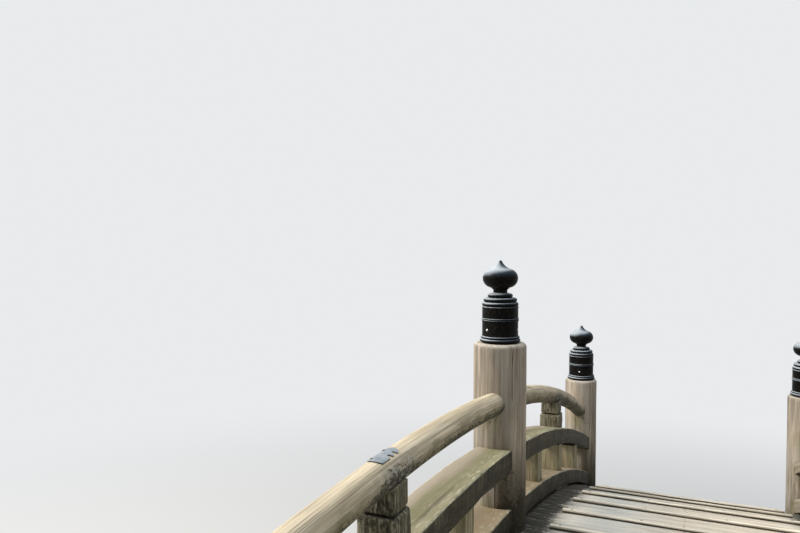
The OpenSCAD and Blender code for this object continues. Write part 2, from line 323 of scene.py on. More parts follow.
def swell(bm, radius, amount, waves, seed, knots=()):
    """Makes a log along Y a little out of round. Waves are how quickly it varies across and along."""
    across, along = waves
    for vert in bm.verts:
        drawn = Vector((vert.co.x * across, vert.co.y * along, vert.co.z * across))
        more = amount * noise.noise(drawn + seed)
        around = math.atan2(vert.co.z, vert.co.x)
        for place, angle, size in knots:
            turned = (around - angle + math.pi) % math.tau - math.pi
            apart = Vector((turned, (vert.co.y - place) / KNOT_L))
            more += KNOT_RISE * size * math.exp(-apart.length_squared * 3)
        vert.co.x *= 1 + more / radius
        vert.co.z *= 1 + more / radius


print("a log is spun from its outline, and its cracks are opened afterwards")

# %% [markdown]
# ## Finished pieces
# Several timbers of one kind make one object, as they share a node of the imported model. The object
# stays at the origin and its place is in its mesh. It rides on the bridge's one body, takes its finish
# as its material, and stands for the plain pieces that it covers, which are hidden.

# %% Join meshes and finish a piece
def mesh_from(name, bm):
    mesh = bpy.data.meshes.new(name)
    bm.to_mesh(mesh)
    bm.free()
    return mesh


def add_object(name, data):
    """Puts an object that carries that data into the scene, at the origin."""
    made = bpy.data.objects.new(name, data)
    bpy.context.scene.collection.objects.link(made)
    return made


def join(parts):
    """Puts several meshes into one, notes and all."""
    whole = bmesh.new()
    note_layers(whole)
    for part in parts:
        mesh = mesh_from("part", part)
        whole.from_mesh(mesh)
        bpy.data.meshes.remove(mesh)
    return whole


def finish_piece(name, bm, material, nodes=(), smooth=40):
    """Makes the object, smooth except at edges sharper than that angle, and ties it to the frame."""
    mesh = mesh_from(name, bm)
    mesh.shade_smooth()
    mesh.set_sharp_from_angle(angle=math.radians(smooth))
    mesh.materials.append(material)
    piece = add_object(name, mesh)
    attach(piece, "root")
    if nodes:
        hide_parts(*nodes)
    print(f"{name}: {len(mesh.polygons)} faces")


print("pieces are joined, shaded and tied to the frame by one function")

# %% [markdown]
# ## Small helpers for materials
# A material is a graph of nodes. These helpers add a node, feed its inputs, and hand back the output
# that the next node needs, so that a finish reads from top to bottom like a recipe. Colours are given
# as the numbers a painter would mix on a screen, from 0 to 255, and turned into linear light.

# %% Node helpers
def paint(red, green, blue):
    """A screen colour as the linear colour that a shader wants."""
    return tuple((channel / 255) ** 2.2 for channel in (red, green, blue)) + (1.0,)


def feed(tree, node, inputs):
    """Links each input to the socket that is given for it, or sets it to the value."""
    for key, value in inputs.items():
        if isinstance(value, bpy.types.NodeSocket):
            tree.links.new(value, node.inputs[key])
        else:
            node.inputs[key].default_value = value


def add_node(tree, kind, inputs, output=0, **settings):
    """Adds a node, feeds its inputs, and returns one of its outputs."""
    node = tree.nodes.new(kind)
    for name, value in settings.items():
        setattr(node, name, value)
    feed(tree, node, inputs)
    return node.outputs[output]


def calc(tree, operation, a, b=0.0):
    return add_node(tree, "ShaderNodeMath", {0: a, 1: b}, operation=operation)


def stretch(tree, vector, factors):
    return add_node(tree, "ShaderNodeVectorMath", {0: vector, 1: factors}, operation="MULTIPLY")


def shift(tree, vector, amount):
    return add_node(tree, "ShaderNodeVectorMath", {0: vector, 1: amount}, operation="ADD")


def enlarge(tree, vector, factor):
    return add_node(tree, "ShaderNodeVectorMath", {0: vector, 3: factor}, operation="SCALE")


def cloud(tree, vector, scale, detail=2.0, rough=0.5):
    """Smooth noise between about 0.3 and 0.7."""
    inputs = {"Vector": vector, "Scale": scale, "Detail": detail, "Roughness": rough}
    return add_node(tree, "ShaderNodeTexNoise", inputs)


def ramp(tree, value, low, high, start=0.0, end=1.0):
    """Start below low, end above high, and a smooth rise between them."""
    inputs = {"Value": value, "From Min": low, "From Max": high, "To Min": start, "To Max": end}
    return add_node(tree, "ShaderNodeMapRange", inputs, interpolation_type="SMOOTHSTEP")


def blend_colours(tree, factor, first, second, mode="MIX"):
    inputs = {0: factor, 6: first, 7: second}
    return add_node(tree, "ShaderNodeMix", inputs, output=2, data_type="RGBA", blend_type=mode)


def relief_from(tree, height, strength, distance):
    inputs = {"Height": height, "Strength": strength, "Distance": distance}
    return add_node(tree, "ShaderNodeBump", inputs)


def part_of(tree, vector, axis):
    return add_node(tree, "ShaderNodeSeparateXYZ", {0: vector}, output=axis)


def note(tree, name):
    """Reads one of the notes that a timber carries."""
    output = "Vector" if NOTES[name] == "float_vector" else "Fac"
    return add_node(tree, "ShaderNodeAttribute", {}, output=output, attribute_name=name)


def new_group(name, inputs, outputs):
    """A node group with named sockets. Returns the group, its inputs by name, and its output node."""
    group = bpy.data.node_groups.new(name, "ShaderNodeTree")
    for label, kind in inputs.items():
        group.interface.new_socket(name=label, in_out="INPUT", socket_type="NodeSocket" + kind)
    for label in outputs:
        group.interface.new_socket(name=label, in_out="OUTPUT", socket_type="NodeSocketFloat")
    given = group.nodes.new("NodeGroupInput").outputs
    made = group.nodes.new("NodeGroupOutput")
    return group, given, made


def place_group(tree, group, inputs):
    """Places a group in a material, and returns its outputs."""
    node = tree.nodes.new("ShaderNodeGroup")
    node.node_tree = group
    feed(tree, node, inputs)
    return node.outputs


print("node helpers are ready")

# %% [markdown]
# ## What all weathered wood shares
# Old softwood has soft pale bands between hard dark ones, fine fibres that stand up as it erodes, hair
# cracks along the grain, and knots. All of it is drawn out along the grain, so the noise is read from
# coordinates squeezed in that direction. The group gives these as separate masks, because each timber
# mixes them in its own strengths.

# %% The figure of the wood
def cloud_vector(tree, vector):
    """Slow noise as a vector round zero, which bends straight rings into the shapes of a real log."""
    inputs = {"Vector": stretch(tree, vector, (1, 0.25, 1)), "Scale": 7.0, "Detail": 2.0}
    colour = add_node(tree, "ShaderNodeTexNoise", inputs, output="Color")
    return shift(tree, colour, (-0.5, -0.5, -0.5))


def ring_distance(tree, grain, tone, own):
    """How far a point lies from the heart of the tree, which is off the timber's centre and bows."""
    bowed = shift(tree, grain, enlarge(tree, cloud_vector(tree, own), 0.030))
    across = part_of(tree, bowed, "X")
    depth = calc(tree, "ADD", part_of(tree, bowed, "Z"), calc(tree, "MULTIPLY", tone, 0.08))
    squares = calc(tree, "ADD", calc(tree, "POWER", across, 2), calc(tree, "POWER", depth, 2))
    return calc(tree, "SQRT", squares)


def make_figure():
    group, given, made = new_group(
        "Wood figure", {"Grain": "Vector", "Tone": "Float", "Ring scale": "Float"},
        ["Bands", "Fibre", "Crack", "Knot"],
    )
    grain = given["Grain"]
    tone = given["Tone"]
    own = shift(group, grain, enlarge(group, (37.1, 11.3, 71.7), tone))

    reach = ring_distance(group, grain, tone, own)
    along = calc(group, "MULTIPLY", part_of(group, own, "Y"), 0.02)
    rings = add_node(group, "ShaderNodeCombineXYZ", {"X": reach, "Y": along, "Z": tone})
    ring_band = cloud(group, rings, given["Ring scale"], 2.0)
    streak = cloud(group, stretch(group, own, (1, 0.035, 1)), 46.0, 4.0, 0.6)
    bands = ramp(group, calc(group, "ADD", ring_band, streak), 0.78, 1.22)

    fibre = cloud(group, stretch(group, own, (1, 0.014, 1)), 240.0, 4.0, 0.65)
    long_cloud = cloud(group, stretch(group, own, (1, 0.010, 1)), 34.0, 1.0)
    line = calc(group, "ABSOLUTE", calc(group, "SUBTRACT", long_cloud, 0.5))
    patch = ramp(group, cloud(group, stretch(group, own, (1, 0.15, 1)), 9.0), 0.50, 0.64)
    crack = calc(group, "MULTIPLY", ramp(group, line, 0.0, 0.016, 1.0, 0.0), patch)

    cells = {"Vector": stretch(group, own, (1, 0.45, 1)), "Scale": 3.2, "Randomness": 1.0}
    knot_distance = add_node(group, "ShaderNodeTexVoronoi", cells, feature="F1")
    knot = ramp(group, knot_distance, 0.025, 0.060, 1.0, 0.0)
    fibre = ramp(group, fibre, 0.3, 0.7)
    feed(group, made, {"Bands": bands, "Fibre": fibre, "Crack": crack, "Knot": knot})
    return group


FIGURE = make_figure()
print("group:", FIGURE.name)

# %% [markdown]
# ## Mould, film, painted shade and worn edges
# Three more effects are shared. Black mould grows as small flecks that merge where it is damp. Green
# film lies on faces that look up, and the faces turned to the lamp's side are told from those turned
# away, so that materials can paint shade on the far side. And the edges of sawn timber are rubbed. Each
# group gives masks from 0 to 1, and each material paints its own colour through them.

# %% Groups for mould, faces to the weather and the lamp, and worn edges
def make_mould():
    group, given, made = new_group(
        "Mould flecks", {"Grain": "Vector", "Tone": "Float", "Amount": "Float"}, ["Mask"]
    )
    apart = enlarge(group, (5.3, 17.9, 3.1), given["Tone"])
    own = stretch(group, shift(group, given["Grain"], apart), (1, 0.55, 1))
    fine = cloud(group, own, 105.0, 6.0, 0.72)
    coarse = cloud(group, own, 11.0, 3.0)
    both = calc(group, "ADD", calc(group, "MULTIPLY", fine, 0.62), calc(group, "MULTIPLY", coarse, 0.38))
    limit = calc(group, "SUBTRACT", 0.66, calc(group, "MULTIPLY", given["Amount"], 0.30))
    over = calc(group, "SUBTRACT", both, limit)
    feed(group, made, {"Mask": ramp(group, over, -0.02, 0.05)})
    return group


def make_weather_and_lamp_faces():
    group, given, made = new_group("Faces to the weather and the lamp", {}, ["Up", "Sunny", "Shady"])
    normal = add_node(group, "ShaderNodeNewGeometry", {}, output="Normal")
    sideways = part_of(group, normal, "X")
    # Sunny and Shady tell faces turned to the lamp on the left from those turned away, for painted shade.
    feed(group, made, {
        "Up": ramp(group, part_of(group, normal, "Z"), 0.45, 0.85),
        "Sunny": ramp(group, sideways, -0.20, -0.80),
        "Shady": ramp(group, sideways, -0.10, 0.50),
    })
    return group


def make_worn_edge():
    group, given, made = new_group("Worn edge", {"Section": "Vector", "Grain": "Vector"}, ["Mask"])
    side = calc(group, "ABSOLUTE", part_of(group, given["Section"], "X"))
    face = calc(group, "ABSOLUTE", part_of(group, given["Section"], "Z"))
    edge = ramp(group, calc(group, "MINIMUM", side, face), 0.86, 1.0)
    rub = ramp(group, cloud(group, given["Grain"], 26.0, 4.0, 0.7), 0.36, 0.62)
    feed(group, made, {"Mask": calc(group, "MULTIPLY", edge, rub)})
    return group


MOULD = make_mould()
WEATHER_AND_LAMP_FACES = make_weather_and_lamp_faces()
WORN_EDGE = make_worn_edge()
print("groups:", MOULD.name, WEATHER_AND_LAMP_FACES.name, WORN_EDGE.name)


# %% [markdown]
# ## A recipe for weathered wood
# A finish starts from the bare wood: two colours for the bands, a little lighter or darker in each
# timber, with dark cracks and knots. Coats are then painted over it, each through its mask, in the
# order in which the weather laid them: silvering, film, mould. Some timbers also take coats of painted
# shade and painted light. Last come the roughness and the relief.

# %% The timber finish
class TimberFinish:
    """A wood material that is built up coat by coat."""

    def __init__(self, name, pale, dark, ring_scale=95.0, variation=0.16, crack=1.0):
        self.material = bpy.data.materials.new(name)
        self.material.use_nodes = True
        self.tree = self.material.node_tree
        self.shader = self.tree.nodes["Principled BSDF"]
        self.grain = note(self.tree, "grain")
        self.section = note(self.tree, "section")
        self.tone = note(self.tree, "tone")
        self.damp = note(self.tree, "damp")
        figure = place_group(
            self.tree, FIGURE, {"Grain": self.grain, "Tone": self.tone, "Ring scale": ring_scale}
        )
        self.fibre = figure["Fibre"]
        self.bands = figure["Bands"]
        self.crack = calc(self.tree, "MULTIPLY", figure["Crack"], crack)
        self.split = ramp(self.tree, note(self.tree, "split"), 0.25, 0.8)
        self.colour = blend_colours(self.tree, figure["Bands"], paint(*dark), paint(*pale))
        self.shade(figure["Fibre"], 0.80, 1.14)
        self.shade(self.tone, 1 - variation, 1 + variation)
        self.coat((104, 88, 66), 0.6, figure["Knot"])
        facing = place_group(self.tree, WEATHER_AND_LAMP_FACES, {})
        self.up = facing["Up"]
        self.sunny = facing["Sunny"]
        self.shady = facing["Shady"]

    def shade(self, value, low, high):
        """Makes the colour darker or lighter as the value goes from 0 to 1."""
        factor = ramp(self.tree, value, 0.0, 1.0, low, high)
        grey = add_node(self.tree, "ShaderNodeCombineColor", {0: factor, 1: factor, 2: factor})
        self.colour = blend_colours(self.tree, 1.0, self.colour, grey, "MULTIPLY")

    def coat(self, colour, strength, *masks):
        """Paints a colour over what is there, through one mask or through several at once."""
        factor = self.times(*masks, strength)
        self.colour = blend_colours(self.tree, factor, self.colour, paint(*colour))

    def mould(self, amount):
        """Mask of mould flecks, more of them as the amount goes up."""
        inputs = {"Grain": self.grain, "Tone": self.tone, "Amount": amount}
        return place_group(self.tree, MOULD, inputs)["Mask"]

    def worn_edge(self):
        return place_group(self.tree, WORN_EDGE, {"Section": self.section, "Grain": self.grain})["Mask"]

    def patches(self, size, low, high, along=1.0):
        """Soft patches about that many metres across, longer along the grain as along gets smaller."""
        own = stretch(self.tree, shift(self.tree, self.grain, (3.7, 1.9, 8.1)), (1, along, 1))
        return ramp(self.tree, cloud(self.tree, own, 1 / size, 4.0, 0.6), low, high)

    def times(self, first, *others):
        for other in others:
            first = calc(self.tree, "MULTIPLY", first, other)
        return first

    def plus(self, first, second):
        return calc(self.tree, "ADD", first, second)

    def inverse(self, mask):
        return calc(self.tree, "SUBTRACT", 1.0, mask)

    def rising(self, value, start, end):
        """Mask that goes from 0 where the value is start to 1 where it is end."""
        return ramp(self.tree, value, start, end)

    def finish(self, rough=0.82, relief=0.0016):
        """Adds the cracks, the roughness and the relief, and returns the material."""
        self.coat((34, 28, 22), 0.85, self.crack)
        self.coat((22, 18, 14), 0.92, self.split)
        tree = self.tree
        height = calc(tree, "ADD", self.times(self.fibre, 0.30), self.times(self.bands, 0.35))
        height = calc(tree, "SUBTRACT", height, self.times(self.crack, 1.1))
        feed(tree, self.shader, {
            "Base Color": self.colour,
            "Roughness": ramp(tree, self.fibre, 0.0, 1.0, rough - 0.10, rough + 0.12),
            "Specular IOR Level": 0.25,
            "Normal": relief_from(tree, height, 0.8, relief),
        })
        return self.material


print("a finish is bare wood with", FIGURE.name.lower(), "and coats over it")

# %% [markdown]
# ## The wood of each kind of piece
# The round posts are silvered grey-brown with long dark streaks, olive where water stands at their feet
# and under the rails, and darker low down on the side away from the lamp as painted shade. The handrail
# is pale tan on top, and olive, mouldy and darker towards its underside, the darkening partly painted
# shade. The square rails carry a green film on top and black mould with painted shade on their sides.
# The struts are sheltered and stay olive-tan. Deck boards are worn to silver, have painted shade on
# their sides, and darken towards the railings.

# %% Wood for the posts
def make_post_wood():
    wood = TimberFinish("post_wood", pale=(175, 162, 145), dark=(136, 126, 112), variation=0.06)
    height = part_of(wood.tree, wood.section, "Y")
    low = wood.rising(height, 0.10, -0.65)
    wood.coat((112, 105, 95), 0.5, wood.patches(0.03, 0.52, 0.66, along=0.05))
    wood.coat((84, 78, 68), 0.55, wood.patches(0.01, 0.56, 0.66, along=0.015))
    wood.coat((158, 154, 145), 0.45, wood.patches(0.1, 0.46, 0.62, along=0.3))
    # Painted shade: the lower part of the post is darker on the side turned away from the lamp.
    wood.coat((66, 62, 52), 0.85, low, wood.shady)
    wood.coat((96, 91, 70), 0.55, low, wood.patches(0.035, 0.46, 0.62, along=0.12))
    stained = wood.times(wood.damp, wood.inverse(wood.shady))
    wood.coat((134, 126, 94), 0.8, stained, wood.patches(0.03, 0.3, 0.52, along=0.12))
    wood.coat((84, 80, 58), 0.6, wood.damp, wood.patches(0.012, 0.52, 0.62, along=0.1))
    # Dark flecks: mould where it is damp, and painted shade low down on the side away from the lamp.
    mould_and_shade_flecks = wood.plus(wood.times(wood.damp, 0.35), wood.times(low, wood.shady, 0.5))
    wood.coat((40, 38, 30), 0.75, wood.mould(mould_and_shade_flecks))
    wood.coat((180, 174, 162), 0.65, wood.up, wood.patches(0.02, 0.36, 0.54))
    return wood.finish(relief=0.0016)


POST_WOOD = make_post_wood()
print("material:", POST_WOOD.name)


# %% Wood for the handrails
def make_handrail_wood():
    wood = TimberFinish(
        "handrail_wood", pale=(190, 177, 153), dark=(160, 148, 124), variation=0.04, crack=0.5
    )
    height = part_of(wood.tree, wood.section, "Z")
    side = wood.rising(height, 0.80, 0.20)
    low = wood.rising(height, 0.55, -0.45)
    lower = wood.rising(height, 0.0, -0.80)
    wood.coat((104, 94, 74), 0.6, wood.patches(0.006, 0.55, 0.66, along=0.008))
    # Towards the underside the log turns olive and darker, partly olive staining and partly painted shade.
    wood.coat((134, 128, 102), 0.75, low)
    wood.coat((92, 88, 66), 0.6, lower)
    wood.coat((110, 106, 80), 0.6, side, wood.patches(0.05, 0.44, 0.62, along=0.4))
    # Damp tops: over the saddle block, and at the posts, where the darkening also stands for painted shade.
    over_block = wood.times(wood.damp, wood.rising(height, 0.92, 0.45))
    wood.coat((112, 110, 100), 0.7, over_block, wood.patches(0.03, 0.36, 0.54))
    amount = wood.plus(wood.times(low, 0.66), wood.times(over_block, 0.42))
    wood.coat((42, 40, 31), 0.82, wood.mould(amount))
    wood.coat((164, 163, 152), 0.7, over_block, wood.patches(0.013, 0.5, 0.6))
    return wood.finish(rough=0.78, relief=0.0014)


HANDRAIL_WOOD = make_handrail_wood()
print("material:", HANDRAIL_WOOD.name)


# %% Wood for the square rails
def make_rail_wood(name, film, back_band, side, mouldy):
    """Film is the top's colour, back_band that of a band on its outer edge, side the sides' mildew and
    painted shade.
    """
    wood = TimberFinish(name, pale=(176, 164, 142), dark=(140, 130, 110), variation=0.05, crack=0.8)
    tree = wood.tree
    outward = part_of(tree, wood.section, "X")
    height = part_of(tree, wood.section, "Z")
    not_up = wood.inverse(wood.up)
    shaded = wood.times(not_up, wood.inverse(wood.times(wood.sunny, 0.9)))
    wood.coat(film, 0.85, wood.up, wood.patches(0.12, 0.2, 0.5, along=0.3))
    # Pale flecks along the inner edge of the top.
    pale_inner_flecks = wood.times(wood.patches(0.014, 0.54, 0.62, along=0.2), wood.rising(outward, 0.3, -0.9))
    wood.coat((186, 184, 158), 0.6, wood.up, pale_inner_flecks)
    # A band along the outer edge of the top, with a wavy inner edge.
    wavy = wood.times(wood.patches(0.06, 0.25, 0.75, along=0.12), 0.5)
    band = wood.rising(wood.plus(outward, wavy), 0.30, 0.85)
    wood.coat(back_band, 0.85, wood.up, band)
    # Painted shade: the sides that do not face the lamp take the dark side colour, with drips and mould
    # over it.
    wood.coat(side, 0.94, shaded)
    wood.coat((76, 71, 57), 0.6, shaded, wood.patches(0.05, 0.46, 0.62, along=0.25))
    drips = wood.rising(cloud(tree, stretch(tree, wood.grain, (0.1, 1, 0.1)), 60.0, 4.0, 0.65), 0.50, 0.62)
    fading = wood.rising(height, -0.9, 0.6)
    wood.coat((116, 109, 90), 0.5, shaded, drips, fading)
    amount = wood.plus(wood.times(shaded, mouldy), wood.times(wood.damp, 0.35))
    wood.coat((40, 38, 30), 0.8, wood.mould(amount))
    wood.coat((200, 198, 172), 0.7, wood.worn_edge(), wood.up)
    return wood.finish(relief=0.0016)


# On the middle rail the band along the outer edge of the top is paler: painted sunlight.
MIDDLE_RAIL_WOOD = make_rail_wood("middle_rail_wood", (130, 127, 97), (158, 146, 130), (44, 42, 33), 0.42)
LOWER_RAIL_WOOD = make_rail_wood("lower_rail_wood", (148, 132, 106), (136, 124, 104), (42, 40, 32), 0.50)
print("materials:", MIDDLE_RAIL_WOOD.name, LOWER_RAIL_WOOD.name)


# %% Wood for the struts and the blocks
def make_strut_wood():
    wood = TimberFinish("strut_wood", pale=(176, 165, 136), dark=(142, 132, 106), variation=0.08)
    corner = wood.inverse(wood.patches(0.03, 0.30, 0.62, along=0.2))
    wood.coat((104, 102, 72), 0.65, wood.patches(0.018, 0.48, 0.62, along=0.05))
    wood.coat((170, 164, 144), 0.5, wood.patches(0.05, 0.5, 0.66, along=0.25))
    wood.coat((76, 72, 56), 0.7, wood.worn_edge(), corner)
    wood.coat((78, 74, 54), 0.8, wood.damp, wood.patches(0.03, 0.35, 0.6, along=0.3))
    wood.coat((48, 46, 35), 0.75, wood.mould(wood.plus(wood.times(wood.damp, 0.6), 0.12)))
    return wood.finish(relief=0.0016)


def make_block_wood():
    wood = TimberFinish("block_wood", pale=(130, 124, 101), dark=(94, 90, 71), variation=0.08)
    wood.coat((58, 55, 42), 0.75, wood.patches(0.016, 0.48, 0.6, along=0.1))
    wood.coat((164, 160, 140), 0.6, wood.patches(0.012, 0.54, 0.66, along=0.12))
    wood.coat((128, 126, 112), 0.6, wood.damp, wood.patches(0.02, 0.48, 0.6))
    wood.coat((36, 34, 26), 0.8, wood.mould(wood.plus(wood.times(wood.damp, 0.4), 0.22)))
    wood.coat((170, 164, 140), 0.6, wood.worn_edge(), wood.patches(0.02, 0.4, 0.6))
    return wood.finish(relief=0.0022)


STRUT_WOOD = make_strut_wood()
BLOCK_WOOD = make_block_wood()
print("materials:", STRUT_WOOD.name, BLOCK_WOOD.name)


# %% Wood for the deck
def make_deck_wood():
    wood = TimberFinish("deck_wood", pale=(214, 202, 182), dark=(182, 172, 156), variation=0.09)
    wood.coat((188, 190, 184), 0.65, wood.patches(0.25, 0.44, 0.6, along=0.5))
    wood.coat((134, 127, 113), 0.55, wood.patches(0.012, 0.54, 0.66, along=0.04))
    wood.coat((48, 49, 42), 0.95, wood.damp, wood.patches(0.03, 0.34, 0.56, along=0.1))
    wood.coat((30, 30, 25), 0.88, wood.mould(wood.damp))
    # Painted shade: the sides of the boards, down in the gaps between them, are darker.
    wood.coat((84, 77, 64), 0.7, wood.inverse(wood.up))
    wood.coat((220, 210, 192), 0.4, wood.worn_edge(), wood.up)
    return wood.finish(relief=0.0014)


def make_cleat_wood():
    wood = TimberFinish("cleat_wood", pale=(226, 217, 199), dark=(198, 189, 172), variation=0.05)
    # Painted shade: a cleat's sides are darker than its top, and darkest along their lower half.
    foot = wood.rising(part_of(wood.tree, wood.section, "Z"), 0.35, -0.25)
    wood.coat((168, 160, 142), 0.6, wood.inverse(wood.up))
    wood.coat((52, 47, 38), 0.9, foot, wood.inverse(wood.up))
    wood.coat((60, 57, 46), 0.6, wood.mould(wood.times(wood.damp, 0.5)))
    wood.coat((228, 220, 202), 0.7, wood.worn_edge(), wood.up)
    return wood.finish(relief=0.0014)


DECK_WOOD = make_deck_wood()
CLEAT_WOOD = make_cleat_wood()
print("materials:", DECK_WOOD.name, CLEAT_WOOD.name)


# %% Wood for what lies under the deck
def make_beam_wood():
    wood = TimberFinish("beam_wood", pale=(116, 102, 84), dark=(84, 74, 60), variation=0.10)
    wood.coat((62, 56, 46), 0.7, wood.patches(0.04, 0.48, 0.64, along=0.08))
    wood.coat((104, 104, 88), 0.5, wood.patches(0.16, 0.48, 0.64, along=0.4))
    wood.coat((58, 62, 42), 0.8, wood.damp, wood.patches(0.08, 0.36, 0.58, along=0.5))
    wood.coat((34, 32, 26), 0.75, wood.mould(wood.plus(wood.times(wood.damp, 0.5), 0.3)))
    wood.coat((138, 126, 106), 0.5, wood.worn_edge())
    return wood.finish(relief=0.0022)


BEAM_WOOD = make_beam_wood()
print("material:", BEAM_WOOD.name)

# %% [markdown]
# ## Metal
# The caps are black lacquered metal whose gloss has dulled unevenly, with a few specks of dust. Faces
# that look up are painted blue-grey as a painted reflection of the sky, and those turned to the lamp's
# side paler still as a painted highlight, so an onion fades from pale at its point to black below its
# belly. The plates over the crown are galvanised iron gone grey-blue, and the nails are dark iron with a
# trace of rust.
# Metals read Object coordinates, as they have no grain.


# %% Metal finishes
PAINTED_SHEEN_SIDE = (-0.40, -0.10, 0.91)


def start_metal(name):
    material = bpy.data.materials.new(name)
    material.use_nodes = True
    tree = material.node_tree
    place = add_node(tree, "ShaderNodeTexCoord", {}, output="Object")
    return material, tree, tree.nodes["Principled BSDF"], place


def make_cap_metal():
    material, tree, shader, place = start_metal("cap_metal")
    normal = add_node(tree, "ShaderNodeNewGeometry", {}, output="Normal")
    sides = {0: normal, 1: PAINTED_SHEEN_SIDE}
    to_sky = add_node(tree, "ShaderNodeVectorMath", sides, output="Value", operation="DOT_PRODUCT")
    patchy = cloud(tree, place, 9.0, 3.0)
    facing = calc(tree, "ADD", to_sky, calc(tree, "MULTIPLY", calc(tree, "SUBTRACT", patchy, 0.5), 0.4))
    upright = part_of(tree, normal, "Z")
    pale = calc(tree, "MULTIPLY", ramp(tree, facing, 0.42, 1.0), ramp(tree, upright, 0.0, 0.35))
    rain = ramp(tree, cloud(tree, stretch(tree, place, (1, 1, 0.2)), 60.0, 4.0, 0.6), 0.50, 0.70)
    dust = ramp(tree, cloud(tree, place, 120.0, 4.0, 0.7), 0.42, 0.66, 0.0, 0.04)
    colour = blend_colours(tree, rain, paint(8, 8, 8), paint(15, 15, 15))
    # Painted reflection and highlight: faces that look up turn blue-grey, and those towards the lamp pale.
    for mask, coat in (
        (ramp(tree, upright, 0.12, 0.90), (46, 55, 66)),
        (pale, (160, 167, 171)),
        (dust, (150, 146, 132)),
    ):
        colour = blend_colours(tree, mask, colour, paint(*coat))
    feed(tree, shader, {
        "Base Color": colour,
        "Roughness": ramp(tree, cloud(tree, place, 22.0, 5.0, 0.6), 0.3, 0.7, 0.38, 0.52),
        "Specular IOR Level": 0.06,
        "Normal": relief_from(tree, patchy, 0.25, 0.002),
    })
    return material


def make_plate_iron():
    material, tree, shader, place = start_metal("plate_iron")
    broad = ramp(tree, cloud(tree, place, 30.0, 4.0, 0.6), 0.35, 0.65)
    fine = ramp(tree, cloud(tree, place, 240.0, 3.0, 0.7), 0.35, 0.65)
    colour = blend_colours(tree, broad, paint(112, 122, 130), paint(144, 151, 155))
    colour = blend_colours(tree, calc(tree, "MULTIPLY", fine, 0.35), colour, paint(104, 108, 106))
    up = place_group(tree, WEATHER_AND_LAMP_FACES, {})["Up"]
    feed(tree, shader, {
        "Base Color": blend_colours(tree, calc(tree, "SUBTRACT", 1.0, up), colour, paint(70, 74, 78)),
        "Metallic": 0.35,
        "Roughness": ramp(tree, fine, 0.0, 1.0, 0.42, 0.62),
        "Normal": relief_from(tree, fine, 0.4, 0.0006),
    })
    return material


def make_spotted_metal(name, spots, limits, clean, spotted, metallic, rough):
    """Metal of a clean colour with rougher spots of another. Spots are the scale and shape of the noise."""
    material, tree, shader, place = start_metal(name)
    mask = ramp(tree, cloud(tree, place, *spots), *limits)
    feed(tree, shader, {
        "Base Color": blend_colours(tree, mask, paint(*clean), paint(*spotted)),
        "Metallic": metallic,
        "Roughness": ramp(tree, mask, 0.0, 1.0, *rough),
    })
    return material


CAP_METAL = make_cap_metal()
PLATE_IRON = make_plate_iron()
NAIL_IRON = make_spotted_metal(
    "nail_iron", (160.0, 4.0, 0.7), (0.42, 0.62), (48, 46, 44), (92, 62, 42), 0.5, (0.45, 0.85)
)
CAP_NAIL_METAL = make_spotted_metal(
    "cap_nail_metal", (190.0, 3.0, 0.6), (0.36, 0.66), (232, 230, 222), (176, 172, 162), 0.4, (0.35, 0.60)
)
print("metals:", CAP_METAL.name, PLATE_IRON.name, NAIL_IRON.name, CAP_NAIL_METAL.name)

# %% [markdown]
# ## The deck
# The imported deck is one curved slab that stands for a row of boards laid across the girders. Here each
# board is its own timber with worn edges and a narrow gap to the next, so that light falls between
# them. A board is straight and flat: only its place follows the arch.

# %% Deck boards
BOARD_PITCH = 0.130
BOARD_GAP = 0.006
DECK_T = 0.050
EDGE_OF_WALK = 0.57
EDGE_BLUR = 0.10


def deck_damp(co):
    """Water stands beside the railings, so the last hand's width of walkway stays dark."""
    return min(1.0, max(0.0, (abs(co.y) - EDGE_OF_WALK) / EDGE_BLUR))


def deck_board(middle, width, draw):
    tone = draw.random()
    seed = Vector((draw.uniform(0, 90), 0, 0))
    bm = worn_timber(
        (width, DECK_W, DECK_T), 0.004, 0.12, (-0.6, 0.0, 0.6), tone, deck_damp, seed,
        bite=(0.008, 0.003), stray=(0.0012, 0.15), all_edges=True,
    )
    lay_across(bm, 0, DECK_R * math.sin(middle / DECK_R), DECK_R, -DECK_T / 2)
    return bm


def make_deck():
    draw = random.Random(11)
    whole = 2 * arc_length(END_Y, DECK_R)
    count = round(whole / BOARD_PITCH)
    pitch = whole / count
    middles = [-whole / 2 + pitch * (i + 0.5) for i in range(count)]
    boards = [deck_board(middle, pitch - BOARD_GAP, draw) for middle in middles]
    finish_piece("deck_boards", join(boards), DECK_WOOD, ["deck"])
    return middles


BOARD_MIDDLES = make_deck()
print("boards:", len(BOARD_MIDDLES))

# %% [markdown]
# ## Foot cleats
# Thin battens across the walkway give the foot a hold on the slopes. They are rubbed round by shoes in
# the middle and stop short of the railings. They step evenly both ways from a place off the crown.

# %% Cleats
CLEAT_PITCH = 0.370
CLEAT_PHASE = 0.93
CLEAT_W = 0.045
CLEAT_H = 0.022
CLEAT_L = size_of("deck_cleats").x
RUBBED_ALL = 0.0015
RUBBED_MIDDLE = 0.0035
SEAT = 0.0003


def cleat_arcs():
    """Arc lengths from the crown to each cleat."""
    half_arc = arc_length(END_Y - CLEAT_W, DECK_R)
    first = -math.floor(half_arc / CLEAT_PITCH + CLEAT_PHASE)
    last = math.floor(half_arc / CLEAT_PITCH - CLEAT_PHASE)
    return [(k + CLEAT_PHASE) * CLEAT_PITCH for k in range(first, last + 1)]


